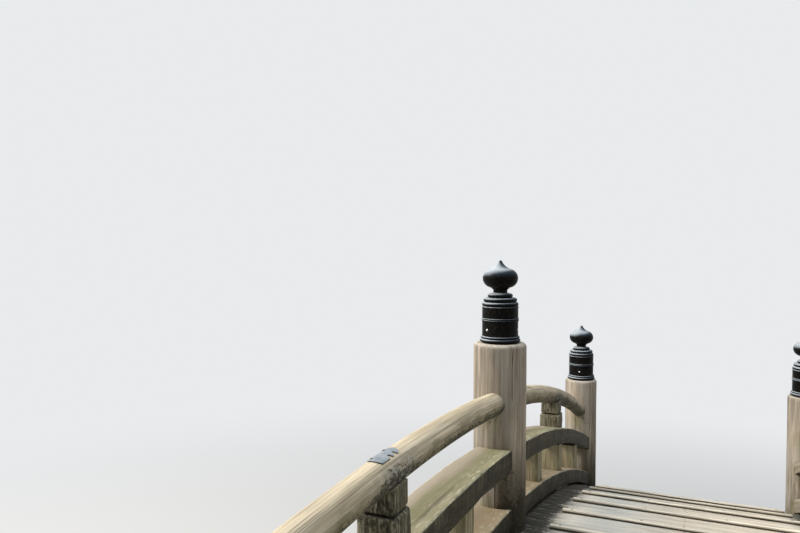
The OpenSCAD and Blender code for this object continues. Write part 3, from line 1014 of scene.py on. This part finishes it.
def cleat(arc, draw):
    half = Vector((CLEAT_W / 2, CLEAT_L / 2, CLEAT_H / 2))
    bm = sawn_timber(CLEAT_W, CLEAT_L, CLEAT_H, 0.003, 0.05, lines_across=(-0.5, 0.5), all_edges=True)
    note_timber(bm, half, draw.random(), lambda co: 0.5 * deck_damp(co))
    seed = Vector((0, draw.uniform(0, 90), 0))
    for vert in bm.verts:
        if vert.co.z > 0:
            walked = RUBBED_ALL + RUBBED_MIDDLE * math.exp(-(vert.co.y / 0.40) ** 2)
            vert.co.z -= walked * (1 + 0.5 * noise.noise(vert.co * 6 + seed))
    wear_edges(bm, half, 0.010, 0.0040, seed)
    lay_across(bm, 0, DECK_R * math.sin(arc / DECK_R), DECK_R, SEAT + CLEAT_H / 2)
    return bm


def make_cleats():
    draw = random.Random(12)
    arcs = cleat_arcs()
    cleats = [cleat(arc, draw) for arc in arcs]
    finish_piece("foot_cleats", join(cleats), CLEAT_WOOD, ["deck_cleats"])
    return arcs


CLEAT_ARCS = make_cleats()
print("cleats:", len(CLEAT_ARCS))

# %% [markdown]
# ## Girders, ties and sills
# Three curved girders carry the deck. Each is one deep timber, flat where it bears on the sill beams.
# Short ties keep them apart, held by bolts whose square washers show outside. None of this shows from
# the walkway, but it does from beside the bridge.

# %% Girders
GIRDER_W = size_of("girder_middle").x
GIRDER_H = 0.320
GIRDER_TOP_R = crown_radius("girder_middle")
SILL_H = size_of("sill_far").z


def girder_damp(co):
    return min(1.0, max(0.0, 0.35 - co.z / GIRDER_H) * 0.8)


def make_girder(node, x, draw):
    radius = GIRDER_TOP_R - GIRDER_H / 2
    length = 2 * arc_length(END_Y, radius) + 0.06
    tone = draw.random()
    seed = Vector((draw.uniform(0, 90), 3, 0))
    bm = worn_timber(
        (GIRDER_W, length, GIRDER_H), 0.008, 0.08, (-0.85, -0.4, 0.0, 0.4, 0.85), tone, girder_damp, seed,
        bite=(0.016, 0.006), stray=(0.0015, 0.25),
    )
    place_on_arch(bm, x, radius)
    for offset, normal in ((-END_Y, (0, -1, 0)), (END_Y, (0, 1, 0))):
        trim(bm, (0, offset, 0), normal)
    trim(bm, (0, 0, SILL_H), (0, 0, -1))
    finish_piece("beam_" + node, bm, BEAM_WOOD, [node])


def trim(bm, point, normal):
    """Saws off what lies beyond a plane, and closes the cut."""
    cut = cut_across(bm, point, normal, clear_outer=True)
    rim = [e for e in cut["geom_cut"] if isinstance(e, bmesh.types.BMEdge)]
    bmesh.ops.holes_fill(bm, edges=rim, sides=0)


def make_girders():
    draw = random.Random(21)
    for place, x in (("left", -RAIL_X), ("middle", 0.0), ("right", RAIL_X)):
        make_girder(f"girder_{place}", x, draw)


make_girders()


# %% Ties, sills and bolts
TIE_W = 0.120
TIE_H = 0.180
TIE_DROP = 0.050
TIE_L = RAIL_X - GIRDER_W
TIE_R = DECK_R - DECK_T - TIE_DROP - TIE_H / 2
TIE_YS = [y * (0.9 if abs(y) > BAY else 1.0) for y in POST_YS] + [0.0]
NUT_R = 0.0187
NUT_TOP_R = 0.0165
NUT_T = 0.014
WASHER = 0.060
WASHER_T = 0.005


def tie(x, y, draw):
    bm = worn_timber(
        (TIE_W, TIE_L, TIE_H), 0.006, 0.08, (-0.5, 0.5), draw.random(), lambda co: 0.3, Vector((y, 5, x)),
        bite=(0.012, 0.004),
    )
    lay_across(bm, x, y, TIE_R, 0)
    return bm


def sill(name, y_sign, draw):
    extent = size_of(name)
    bm = worn_timber(
        (extent.y, extent.x, extent.z), 0.010, 0.08, (-0.6, 0.0, 0.6), draw.random(),
        lambda co: 0.5 - co.z / extent.z, Vector((2, y_sign * 7, 0)), bite=(0.018, 0.007), all_edges=True,
    )
    turn_about(bm, 90, "Z")
    slide(bm, (0, y_sign * (END_Y - extent.y / 2), extent.z / 2))
    finish_piece(name + "_beam", bm, BEAM_WOOD, [name])


def bolt(side, y):
    """A square washer and a domed nut on the outer face of an outer girder."""
    bm = bmesh.new()
    bmesh.ops.create_cube(bm, size=1, matrix=Matrix.Diagonal((WASHER_T, WASHER, WASHER, 1)))
    bmesh.ops.bevel(
        bm, geom=bm.edges[:], offset=0.0015, segments=1, profile=0.5, affect="EDGES", material=-1
    )
    outward = Matrix.Translation((NUT_T / 2 + 0.002, 0, 0)) @ Matrix.Rotation(math.pi / 2, 4, "Y")
    bmesh.ops.create_cone(
        bm, cap_ends=True, segments=6, radius1=NUT_R, radius2=NUT_TOP_R, depth=NUT_T, matrix=outward
    )
    if side < 0:
        turn_about(bm, 180, "Z")
    slide(bm, (side * (RAIL_X + GIRDER_W / 2 + 0.002), 0, ARCH_Z + TIE_R))
    tilt_onto_arch(bm, y, TIE_R)
    return bm


def make_ties_and_sills():
    draw = random.Random(22)
    ties = [tie(s * RAIL_X / 2, y, draw) for y in TIE_YS for s in SIDES.values()]
    finish_piece("tie_beams", join(ties), BEAM_WOOD, ["cross_ties"])
    sill("sill_near", -1, draw)
    sill("sill_far", 1, draw)
    bolts = [bolt(s, y) for y in TIE_YS for s in SIDES.values()]
    finish_piece("girder_bolts", join(bolts), NAIL_IRON)


make_ties_and_sills()

# %% [markdown]
# ## Posts
# Eight round posts stand on the deck. Each is turned with a rounded shoulder, its drying cracks are
# opened, and its surface is made a little out of round. The mesh has 128 columns, which is fine enough
# for cracks a few millimetres wide. The post is noted while it lies along Y, then stood up.

# %% Make the posts
POST_SIDES = 128
POST_STEP = 0.018
POST_SHOULDER = 0.020
FOOT_DAMP_H = 0.22
STAIN_H = 0.15
STAIN_DROP = 0.03


def post_damp(y, base_z, middle_z):
    """Damp at a post's foot, and below each rail that meets it on the two sides along the bridge."""
    joints = [height_at(radius, y) for radius in (LOWER_TOP_R, MIDDLE_TOP_R, HANDRAIL_R)]

    def damp(co):
        z = middle_z + co.y
        foot = max(0.0, 1 - (z - base_z) / FOOT_DAMP_H)
        towards_rails = max(0.0, abs(co.z) / math.hypot(co.x, co.z, 1e-9) - 0.45) / 0.55
        stain = 0.0
        for joint in joints:
            below = joint - z
            if -0.02 < below < STAIN_DROP + STAIN_H:
                stain = max(stain, 1 - abs(below - STAIN_DROP) / STAIN_H)
        return min(1.0, 0.9 * foot + 0.9 * towards_rails * max(0.0, stain))

    return damp


def make_post(name, x, y, draw):
    low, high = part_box(name)
    radius = (high.x - low.x) / 2
    length = high.z - low.z
    middle_z = (high.z + low.z) / 2
    half = Vector((radius, length / 2, radius))
    cracks = draw_cracks(draw, 9, POST_SIDES, length, longest=0.55, width=0.0042, depth=0.012)
    bm = cracked_log(log_outline(radius, length, POST_STEP, POST_SHOULDER), radius, POST_SIDES, cracks)
    note_timber(bm, half, draw.random(), post_damp(y, low.z, middle_z))
    swell(bm, radius, 0.0018, (9, 2.5), Vector((draw.uniform(0, 90), 0, 0)))
    turn_about(bm, 90, "X")
    slide(bm, (x, y, middle_z))
    finish_piece(name + "_log", bm, POST_WOOD, [name], smooth=50)


def make_posts():
    draw = random.Random(31)
    for side, sign in SIDES.items():
        for i, y in enumerate(POST_YS, start=1):
            make_post(f"post_{side}_{i}", sign * RAIL_X, y, draw)


make_posts()

# %% [markdown]
# ## Caps
# The black caps keep rain out of the end grain. A cap is turned metal, so its outline says it all:
# foot rings, a plain sleeve with a double bead round it, three domed lids on one more bead, a neck, and
# an onion whose round side runs over into the hollow curve of its point. It is made of arcs, and spun.

# %% Outline of a cap
CAP = {
    "sleeve_r": 0.087, "sleeve_h": 0.176, "collar_h": 0.062, "rings": 3, "foot_out": 0.011,
    "neck_r": 0.034, "neck_h": 0.017, "onion_r": 0.085, "onion_h": 0.160, "belly_h": 0.074,
    "side_r": 0.046, "flare_r": 0.070, "point_r": 0.006,
}
END_CAP_RATIO = 1.15


def arc_points(centre, radius, start, end, steps):
    """Points on an arc, with its angles in degrees."""
    angles = [math.radians(start + (end - start) * i / steps) for i in range(steps + 1)]
    return [(centre[0] + radius * math.cos(a), centre[1] + radius * math.sin(a)) for a in angles]


def collar_rings():
    """The stepped dome: each ring is an arc, and together they turn in faster and faster."""
    lean = math.sin(math.radians(70))
    ring = CAP["collar_h"] / (CAP["rings"] * (1 + lean))
    bottom_r = CAP["sleeve_r"] + 0.001 - ring
    top_r = CAP["neck_r"] + 1.5 * ring
    points = []
    for k in range(CAP["rings"]):
        share = (k / (CAP["rings"] - 1)) ** 2
        middle = (bottom_r + (top_r - bottom_r) * share, CAP["sleeve_h"] + ring * (lean + k * (1 + lean)))
        points += arc_points(middle, ring, -70, 90, 8)
    return points


def onion_points(collar_top):
    """The onion's round side, and the hollow curve that meets it without a corner and ends at the point."""
    belly = Vector((CAP["onion_r"] - CAP["side_r"], collar_top + CAP["belly_h"]))
    tip = Vector((CAP["point_r"], collar_top + CAP["onion_h"]))
    reach = (tip - belly).length
    near = CAP["side_r"] + CAP["flare_r"]
    along = (near ** 2 - CAP["flare_r"] ** 2 + reach ** 2) / (2 * reach)
    aside = math.sqrt(near ** 2 - along ** 2)
    up = (tip - belly) / reach
    flare = belly + along * up + aside * Vector((up.y, -up.x))
    meet = math.degrees(math.atan2(flare.y - belly.y, flare.x - belly.x))
    end = math.degrees(math.atan2(tip.y - flare.y, tip.x - flare.x))
    side = arc_points(belly, CAP["side_r"], -80, meet, 30)
    hollow = arc_points(flare, CAP["flare_r"], meet - 180, end - 360 if end > 0 else end, 16)
    return side + hollow[1:]


def cap_outline():
    foot_ring = 0.009
    foot_bead = 0.006
    band_bead = 0.004
    collar_bead = 0.0035
    sleeve_r = CAP["sleeve_r"]
    band_z = CAP["sleeve_h"] * 0.636
    foot_r = sleeve_r + CAP["foot_out"] - foot_ring
    collar_top = CAP["sleeve_h"] + CAP["collar_h"]
    points = [(0, 0), (foot_r * 0.5, 0), (foot_r, 0)]
    points += arc_points((foot_r, foot_ring + 0.003), foot_ring, -90, 90, 10)
    points += arc_points((sleeve_r + 0.001, 2 * foot_ring + foot_bead + 0.003), foot_bead, -70, 90, 8)
    points += [(sleeve_r, 2 * (foot_ring + foot_bead) + 0.008)]
    for bead_z in (band_z - band_bead, band_z + band_bead):
        points += arc_points((sleeve_r - 0.001, bead_z), band_bead, -75, 75, 8)
    points += arc_points((sleeve_r - 0.001, CAP["sleeve_h"] - collar_bead), collar_bead, -73, 73, 8)
    points += [(sleeve_r, CAP["sleeve_h"])]
    points += collar_rings()
    points += [(CAP["neck_r"], collar_top + 0.004), (CAP["neck_r"], collar_top + CAP["neck_h"])]
    return points + onion_points(collar_top) + [(0, collar_top + CAP["onion_h"] + 0.001)]


print("points in a cap's outline:", len(cap_outline()))

# %% [markdown]
# A few pale nail heads hold each sleeve to its post. They sit low down, a third of a turn apart. The
# edges of the outline that are sharp on the real cap stay sharp because the shading breaks at 35
# degrees, and everything flatter is smooth.


# %% Make the caps
CAP_SIDES = 96
NAIL_HEIGHT = 0.065
NAIL_R = 0.0065
FIRST_NAIL = {2: -120.0, 3: -120.0, 1: -90.0, 4: -90.0}


def nail_head(radius, height):
    """A domed nail head on the XY plane, with a few dozen faces."""
    shank = -height * 0.6
    rim = [(radius, shank), (radius, 0)]
    dome = [(radius * 0.8, height * 0.65), (radius * 0.4, height * 0.95), (0, height)]
    return turn([(0, shank)] + rim + dome, 10)


def cap_nails(x, y, base_z, ratio, first):
    heads = []
    for k in range(3):
        head = nail_head(NAIL_R * ratio, 0.0035 * ratio)
        turn_about(head, 90, "Y")
        slide(head, (CAP["sleeve_r"] * ratio, 0, NAIL_HEIGHT * ratio))
        turn_about(head, first + 120 * k, "Z")
        slide(head, (x, y, base_z))
        heads.append(head)
    return heads


def make_caps():
    heads = []
    for side, sign in SIDES.items():
        for i, y in enumerate(POST_YS, start=1):
            name = f"cap_{side}_{i}"
            ratio = END_CAP_RATIO if i in (1, BAYS + 1) else 1.0
            base_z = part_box(name)[0].z
            bm = turn([(r * ratio, h * ratio) for r, h in cap_outline()], CAP_SIDES)
            slide(bm, (sign * RAIL_X, y, base_z))
            finish_piece(name + "_metal", bm, CAP_METAL, [name], smooth=35)
            heads += cap_nails(sign * RAIL_X, y, base_z, ratio, FIRST_NAIL[i])
    finish_piece("cap_nails", join(heads), CAP_NAIL_METAL)


make_caps()

# %% [markdown]
# ## Handrails
# A handrail is a thin peeled log that was bent or grown to the arch. Its thickness varies by a few
# millimetres, it has small swellings where branches were, and its cracks run almost its whole length.
# Its ends are let into the posts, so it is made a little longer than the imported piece.

# %% Make the handrails
HANDRAIL_SIDES = 72
HANDRAIL_STEP = 0.020
HANDRAIL_KNOTS = 4
DAMP_OVER_BLOCK = 0.15
DAMP_AND_SHADE_AT_POST = 0.07
LET_IN = 0.012


def bay_arcs(i, radius, width):
    """Arc lengths of a member's two ends in bay i, let into the round faces of its posts."""
    ends = []
    for post, sign in ((i, 1), (i + 1, -1)):
        y = POST_YS[post]
        post_r = size_of(f"post_left_{post + 1}").x / 2
        hold = math.sqrt(post_r ** 2 - width ** 2 / 4) - LET_IN
        ends.append(arc_length(y + sign * hold, radius))
    return ends


def handrail_damp_and_shade(length):
    """Damp over the saddle block, and damp with painted shade where the log meets its posts."""

    def damp(co):
        over_block = math.exp(-(co.y / DAMP_OVER_BLOCK) ** 2)
        damp_and_shade_at_post = math.exp(-((length / 2 - abs(co.y)) / DAMP_AND_SHADE_AT_POST) ** 2)
        return min(1.0, over_block + 0.6 * damp_and_shade_at_post)

    return damp


def make_handrail(name, x, i, draw):
    start, end = bay_arcs(i, HANDRAIL_R, HANDRAIL_D)
    length = end - start
    radius = HANDRAIL_D / 2
    half = Vector((radius, length / 2, radius))
    cracks = draw_cracks(draw, 7, HANDRAIL_SIDES, length, longest=1.1, width=0.0030, depth=0.008)
    bm = cracked_log(log_outline(radius, length, HANDRAIL_STEP), radius, HANDRAIL_SIDES, cracks)
    note_timber(bm, half, draw.random(), handrail_damp_and_shade(length))
    knots = []
    for _ in range(HANDRAIL_KNOTS):
        place = draw.uniform(-0.45, 0.45) * length
        knots.append((place, draw.uniform(0, math.tau), draw.uniform(0.6, 1)))
    swell(bm, radius, 0.0022, (7, 2.2), Vector((0, 0, draw.uniform(0, 90))), knots)
    slide(bm, (0, (start + end) / 2, 0))
    place_on_arch(bm, x, HANDRAIL_R)
    finish_piece(name + "_log", bm, HANDRAIL_WOOD, [name], smooth=50)


def make_handrails():
    draw = random.Random(41)
    for side, sign in SIDES.items():
        for i in range(BAYS):
            make_handrail(f"handrail_{side}_{i + 1}", sign * RAIL_X, i, draw)


make_handrails()

# %% [markdown]
# ## Square rails
# The middle and lower rails are sawn square and broad. Their tops lie open to the rain, their edges
# are chipped, and their ends are hollowed to fit the round posts. The mesh simply runs a little
# way into the post, which gives the same close joint.

# %% Make the square rails
RAIL_CORNER = 0.007
RAIL_LINES = (-0.86, -0.5, 0.0, 0.5, 0.86)
DAMP_RAIL_END = 0.10


def rail(i, top_radius, height, sign, draw):
    """One rail of a bay. Sign tells the left railing from the right one."""
    radius = top_radius - height / 2
    start, end = bay_arcs(i, radius, RAIL_W)
    length = end - start
    tone = draw.random()
    seed = Vector((draw.uniform(0, 90), draw.uniform(0, 90), 0))

    def damp_ends(co):
        return math.exp(-((length / 2 - abs(co.y)) / DAMP_RAIL_END) ** 2)

    bm = worn_timber(
        (RAIL_W, length, height), RAIL_CORNER, 0.022, RAIL_LINES, tone, damp_ends, seed,
        bite=(0.012, 0.0030), stray=(0.0008, 0.20),
    )
    flip_outward(bm, sign)
    slide(bm, (0, (start + end) / 2, 0))
    place_on_arch(bm, sign * RAIL_X, radius)
    return bm


def flip_outward(bm, sign):
    """Makes the section note's X grow outwards on both sides of the bridge."""
    section = note_layers(bm)["section"]
    for vert in bm.verts:
        place = vert[section].copy()
        place.x *= sign
        vert[section] = place


def make_middle_rails():
    draw = random.Random(42)
    for side, sign in SIDES.items():
        for i in range(BAYS):
            name = f"middle_rail_{side}_{i + 1}"
            bm = rail(i, MIDDLE_TOP_R, RAIL_H["middle"], sign, draw)
            finish_piece(name + "_timber", bm, MIDDLE_RAIL_WOOD, [name])


def make_lower_rails():
    draw = random.Random(43)
    for side, sign in SIDES.items():
        name = f"lower_rail_{side}"
        parts = [rail(i, LOWER_TOP_R, RAIL_H["lower"], sign, draw) for i in range(BAYS)]
        finish_piece(name + "_timber", join(parts), LOWER_RAIL_WOOD, [name])


make_middle_rails()
make_lower_rails()

# %% [markdown]
# ## Struts and spacers
# Stout square struts stand between the lower and middle rails, with the grain upright. Thin spacers
# lift the lower rail off the deck, and the gaps between them let the rain drain away.

# %% Make the struts and spacers
STRUT_W = 0.125
STRUTS_PER_BAY = 3
SPACER_L = 0.480
SPACER_W = RAIL_W - 0.020
HIDDEN = 0.004


def strut(x, y, draw):
    bottom = height_at(LOWER_TOP_R, abs(y) + STRUT_W / 2) - HIDDEN
    top = height_at(MIDDLE_UNDER_R, y) + HIDDEN
    length = top - bottom
    tone = draw.random()
    seed = Vector((draw.uniform(0, 90), 1, 1))

    def damp_foot(co):
        return max(0.0, -2 * co.y / length) ** 3

    bm = worn_timber(
        (STRUT_W, length, STRUT_W), 0.006, 0.02, (-0.84, -0.4, 0.0, 0.4, 0.84), tone, damp_foot, seed,
        bite=(0.012, 0.0045), stray=(0.0010, 0.12),
    )
    turn_about(bm, 90, "X")
    slide(bm, (x, y, (bottom + top) / 2))
    return bm


def spacer(x, start, end, draw):
    height = crown_radius("spacers_left") - DECK_R
    radius = DECK_R + height / 2
    half = Vector((SPACER_W / 2, (end - start) / 2, height / 2))
    bm = sawn_timber(SPACER_W, end - start, height, 0.002, 0.06)
    note_timber(bm, half, draw.random(), lambda co: 0.8)
    slide(bm, (0, (start + end) / 2, 0))
    place_on_arch(bm, x, radius)
    return bm


def spacer_ends(i):
    """Start and end arcs of the three spacers of a bay."""
    start, end = bay_arcs(i, DECK_R, SPACER_W)
    middle = arc_length(BAY_YS[i], DECK_R)
    near = arc_length(POST_YS[i] + SPACER_L / 2, DECK_R)
    far = arc_length(POST_YS[i + 1] - SPACER_L / 2, DECK_R)
    return [(start, near), (middle - SPACER_L / 2, middle + SPACER_L / 2), (far, end)]


def make_struts_and_spacers():
    draw = random.Random(44)
    share = [k / (STRUTS_PER_BAY + 1) for k in range(1, STRUTS_PER_BAY + 1)]
    strut_ys = [y + BAY * part for y in POST_YS[:-1] for part in share]
    for side, sign in SIDES.items():
        struts = [strut(sign * RAIL_X, y, draw) for y in strut_ys]
        finish_piece(f"struts_{side}_timber", join(struts), STRUT_WOOD, [f"struts_{side}"])
        spacers = [spacer(sign * RAIL_X, *ends, draw) for i in range(BAYS) for ends in spacer_ends(i)]
        finish_piece(f"spacers_{side}_timber", join(spacers), BLOCK_WOOD, [f"spacers_{side}"])


make_struts_and_spacers()

# %% [markdown]
# ## Grooved blocks
# At the middle of each bay one block carries the handrail: a stub on the rail with rounded shoulders, a
# groove cut round it, and a saddle on top in which the log lies. It is square, so it can't be spun. A
# square plate is extruded upwards step by step instead, and scaled at each step to the outline's width.

# %% Make the blocks
STUB_W = 0.130
STUB_H = 0.096
STUB_SHOULDER = 0.012
SADDLE_W = 0.116
GROOVE_DEPTH = 0.014
GROOVE_H = 0.010
SADDLE_DEPTH = 0.025
BLOCK_CORNER = 0.004


def block_outline(bottom, top):
    """Half widths and heights of a block over the top of the rail."""
    steps = 6
    side = STUB_H - STUB_SHOULDER - bottom
    points = [(STUB_W / 2, bottom + side * i / steps) for i in range(steps + 1)]
    points += arc_points((STUB_W / 2 - STUB_SHOULDER, STUB_H - STUB_SHOULDER), STUB_SHOULDER, 15, 75, 4)
    groove = SADDLE_W / 2 - GROOVE_DEPTH
    points += [(groove, STUB_H + GROOVE_H * 0.2), (groove, STUB_H + GROOVE_H * 0.6)]
    rise = top - STUB_H - GROOVE_H
    points += [(SADDLE_W / 2, STUB_H + GROOVE_H + rise * i / steps) for i in range(steps + 1)]
    return points


def square_plate(half_width):
    """A flat square face with bevelled corners, and points along its sides."""
    bm = bmesh.new()
    bmesh.ops.create_grid(bm, x_segments=1, y_segments=1, size=half_width)
    bmesh.ops.bevel(
        bm, geom=bm.verts[:], offset=BLOCK_CORNER, segments=2, profile=0.5, affect="VERTICES", material=-1
    )
    sides = [e for e in bm.edges if e.calc_length() > half_width]
    bmesh.ops.subdivide_edges(bm, edges=sides, cuts=5)
    return bm


def block(x, y, draw):
    top = HANDRAIL_R - HANDRAIL_D / 2 + SADDLE_DEPTH - MIDDLE_TOP_R
    outline = block_outline(-HIDDEN, top)
    bm = square_plate(outline[0][0])
    slide(bm, (0, 0, outline[0][1]))
    face = bm.faces[:][0]
    for (width, height), (next_width, next_height) in zip(outline, outline[1:]):
        made = bmesh.ops.extrude_face_region(bm, geom=[face])["geom"]
        verts = [v for v in made if isinstance(v, bmesh.types.BMVert)]
        face = next(f for f in made if isinstance(f, bmesh.types.BMFace))
        share = next_width / width
        bmesh.ops.scale(bm, vec=(share, share, 1), verts=verts)
        bmesh.ops.translate(bm, vec=(0, 0, next_height - height), verts=verts)
    bmesh.ops.recalc_face_normals(bm, faces=bm.faces)
    slide(bm, (0, 0, -top / 2))
    turn_about(bm, -90, "X")
    half = Vector((STUB_W / 2, top / 2, STUB_W / 2))

    def damp_groove(co):
        return 0.35 + 0.5 * math.exp(-((co.y - STUB_H + top / 2) / 0.03) ** 2)

    note_timber(bm, half, draw.random(), damp_groove)
    seed = Vector((draw.uniform(0, 90), 7, 7))
    wear_edges(bm, half, 0.024, 0.004, seed)
    wander(bm, 0.0014, 0.07, seed)
    turn_about(bm, 90, "X")
    slide(bm, (x, y, height_at(MIDDLE_TOP_R, y) + top / 2))
    return bm


def make_blocks():
    draw = random.Random(45)
    for side, sign in SIDES.items():
        blocks = [block(sign * RAIL_X, y, draw) for y in BAY_YS]
        finish_piece(f"blocks_{side}_timber", join(blocks), BLOCK_WOOD, [f"blocks_{side}"])


make_blocks()

# %% [markdown]
# ## Iron plates
# A curved plate is nailed over each handrail at the crown. Its far end is one round lobe, its near end
# bows out, and two hooked notches are cut into the side that faces the walkway. The outline is drawn
# flat in millimetres, cut into strips, given its thickness, and then wrapped round the log.

# %% Make the plates and drive their nails
PLATE_T = 0.0025
PLATE_STRIPS = 6
PLATE_STRIP_W = 0.004
PLATE_NAILS = ((-0.046, -20), (0.040, -20))
MM = 0.001


def plate_outline():
    """Points along and across the flat plate, in millimetres. Across grows towards the walkway."""
    points = arc_points((46, 1), 25, -90, 95, 16)
    points += arc_points((33.5, 19), 7.5, 20, -170, 8)
    points += arc_points((16.5, 16), 10, 12, 160, 10)
    points += arc_points((-0.5, 19), 7.5, -5, -170, 8)
    points += [(-9, 26), (-62, 26)]
    return points + arc_points((-36.8, 0), 36.2, 133, 226, 10)


def rail_plate(sign):
    bm = bmesh.new()
    bm.faces.new([bm.verts.new((across * MM, along * MM, 0)) for along, across in plate_outline()])
    for k in range(-PLATE_STRIPS, PLATE_STRIPS + 1):
        cut_across(bm, (k * PLATE_STRIP_W, 0, 0), (1, 0, 0))
    bmesh.ops.solidify(bm, geom=bm.faces[:], thickness=PLATE_T)
    slide(bm, (0, 0, -min(vert.co.z for vert in bm.verts)))
    under = HANDRAIL_D / 2 + SEAT
    for vert in bm.verts:
        angle = -sign * vert.co.x / under
        reach = under + vert.co.z
        vert.co.x = reach * math.sin(angle)
        vert.co.z = reach * math.cos(angle)
    bmesh.ops.recalc_face_normals(bm, faces=bm.faces)
    place_on_arch(bm, sign * RAIL_X, HANDRAIL_R)
    return bm


def plate_nail(sign, along, degrees):
    head = nail_head(0.0050, 0.0026)
    slide(head, (0, 0, HANDRAIL_D / 2 + SEAT + PLATE_T))
    turn_about(head, -sign * degrees, "Y")
    slide(head, (0, along, 0))
    place_on_arch(head, sign * RAIL_X, HANDRAIL_R)
    return head


def make_plates():
    plates = [rail_plate(sign) for sign in SIDES.values()]
    finish_piece("rail_plate_sheets", join(plates), PLATE_IRON, ["rail_plates"], smooth=35)
    heads = [plate_nail(sign, *nail) for sign in SIDES.values() for nail in PLATE_NAILS]
    finish_piece("plate_nails", join(heads), NAIL_IRON)


make_plates()

# %% [markdown]
# ## Nails in the walkway
# Two nails hold each board to each girder, and four hold each cleat. There are hundreds of them, so one
# head has only a few dozen faces, and all of them together are one mesh.

# %% Drive the deck nails
BOARD_NAIL_R = 0.0050
NAIL_INSET = 0.032


def deck_nail(x, arc, radius):
    head = nail_head(BOARD_NAIL_R, 0.0010)
    slide(head, (x, 0, ARCH_Z + radius))
    tilt_onto_arch(head, radius * math.sin(arc / radius), radius)
    return head


def make_deck_nails():
    draw = random.Random(51)
    heads = []
    for middle in BOARD_MIDDLES:
        for x in (-RAIL_X, 0.0, RAIL_X):
            for offset in (-NAIL_INSET, NAIL_INSET):
                heads.append(deck_nail(x + draw.uniform(-0.01, 0.01), middle + offset, DECK_R))
    for arc in CLEAT_ARCS:
        for share in (-0.92, -0.34, 0.34, 0.92):
            heads.append(deck_nail(share * CLEAT_L / 2, arc, DECK_R + CLEAT_H))
    finish_piece("deck_nails", join(heads), NAIL_IRON)


make_deck_nails()

# %% [markdown]
# ## Stage, light and camera
# The floor is a plain pale sheet that keeps the shadow near the bridge and fades into the background
# further out. Both are pale for the camera and for reflections only, so they add no light of their own
# to the wood. A broad lamp stands to the left, where the light comes from on the real bridge, and a
# soft one hangs overhead. The camera stands on the near slope of the deck at eye height, as the
# photograph was taken.

# %% Floor and background
FLOOR_SIZE = 240.0
FLOOR_PAINT = paint(176, 176, 174)
FLOOR_FADE = (3.0, 9.5)
BACKGROUND = paint(232, 234, 236)


def background_only_seen(tree):
    """1 for what the camera, a reflection or glass sees, and 0 for light that falls on the bridge."""
    rays = tree.nodes.new("ShaderNodeLightPath").outputs
    mirrored = calc(tree, "MAXIMUM", rays["Is Glossy Ray"], rays["Is Transmission Ray"])
    return calc(tree, "MAXIMUM", rays["Is Camera Ray"], mirrored)


def make_floor():
    bm = bmesh.new()
    bmesh.ops.create_grid(bm, x_segments=8, y_segments=8, size=FLOOR_SIZE / 2)
    mesh = mesh_from("floor", bm)
    material = bpy.data.materials.new("floor_paint")
    material.use_nodes = True
    tree = material.node_tree
    shader = tree.nodes["Principled BSDF"]
    feed(tree, shader, {"Base Color": FLOOR_PAINT, "Roughness": 0.9})
    place = add_node(tree, "ShaderNodeTexCoord", {}, output="Object")
    away = add_node(tree, "ShaderNodeVectorMath", {0: place}, output="Value", operation="LENGTH")
    far = calc(tree, "MULTIPLY", ramp(tree, away, *FLOOR_FADE), background_only_seen(tree))
    pale = add_node(tree, "ShaderNodeEmission", {"Color": BACKGROUND, "Strength": 1.0})
    mixed = add_node(tree, "ShaderNodeMixShader", {0: far, 1: shader.outputs[0], 2: pale})
    tree.links.new(mixed, tree.nodes["Material Output"].inputs["Surface"])
    mesh.materials.append(material)
    add_object("floor", mesh)


def make_world():
    world = bpy.data.worlds.new("studio")
    bpy.context.scene.world = world
    world.use_nodes = True
    tree = world.node_tree
    tree.nodes.clear()
    shown = add_node(tree, "ShaderNodeBackground", {"Color": BACKGROUND, "Strength": 1.0})
    light = add_node(tree, "ShaderNodeBackground", {"Color": paint(226, 233, 244), "Strength": 0.50})
    mixed = add_node(tree, "ShaderNodeMixShader", {0: background_only_seen(tree), 1: light, 2: shown})
    tree.links.new(mixed, tree.nodes.new("ShaderNodeOutputWorld").inputs["Surface"])


make_floor()
make_world()
print("floor and background are in place")


# %% Lamps
def soft_lamp(name, place, target, size, power, colour):
    lamp = bpy.data.lights.new(name, "AREA")
    lamp.shape = "DISK"
    lamp.size = size
    lamp.energy = power
    lamp.color = colour
    holder = add_object(name, lamp)
    holder.location = place
    aim = Vector(target) - Vector(place)
    holder.rotation_euler = aim.to_track_quat("-Z", "Y").to_euler()


soft_lamp(
    "left_lamp", place=(-9.0, -0.6, 8.0), target=(-0.3, 1.2, 1.4), size=3.6, power=1380.0,
    colour=(1.0, 0.94, 0.86),
)
soft_lamp(
    "top_lamp", place=(-1.0, 1.5, 8.5), target=(0.0, 1.5, 1.0), size=5.0, power=410.0,
    colour=(0.94, 0.97, 1.0),
)
print("lamps:", [light.name for light in bpy.data.lights])

# %% Camera
EYE = (-0.0011, -1.8139, 2.6693)
LOOK_DOWN = 1.988
TURN_LEFT = 23.417
FOCAL_MM = 30.02
SENSOR_MM = 36.0


def make_camera():
    camera = bpy.data.cameras.new("eye_level")
    camera.sensor_width = SENSOR_MM
    camera.lens = FOCAL_MM
    camera.clip_start = 0.05
    holder = add_object("eye_level", camera)
    holder.location = EYE
    holder.rotation_euler = (math.radians(90 - LOOK_DOWN), 0, math.radians(TURN_LEFT))
    bpy.context.scene.camera = holder


make_camera()
bpy.context.scene.view_settings.view_transform = "Standard"
print("camera at", EYE)
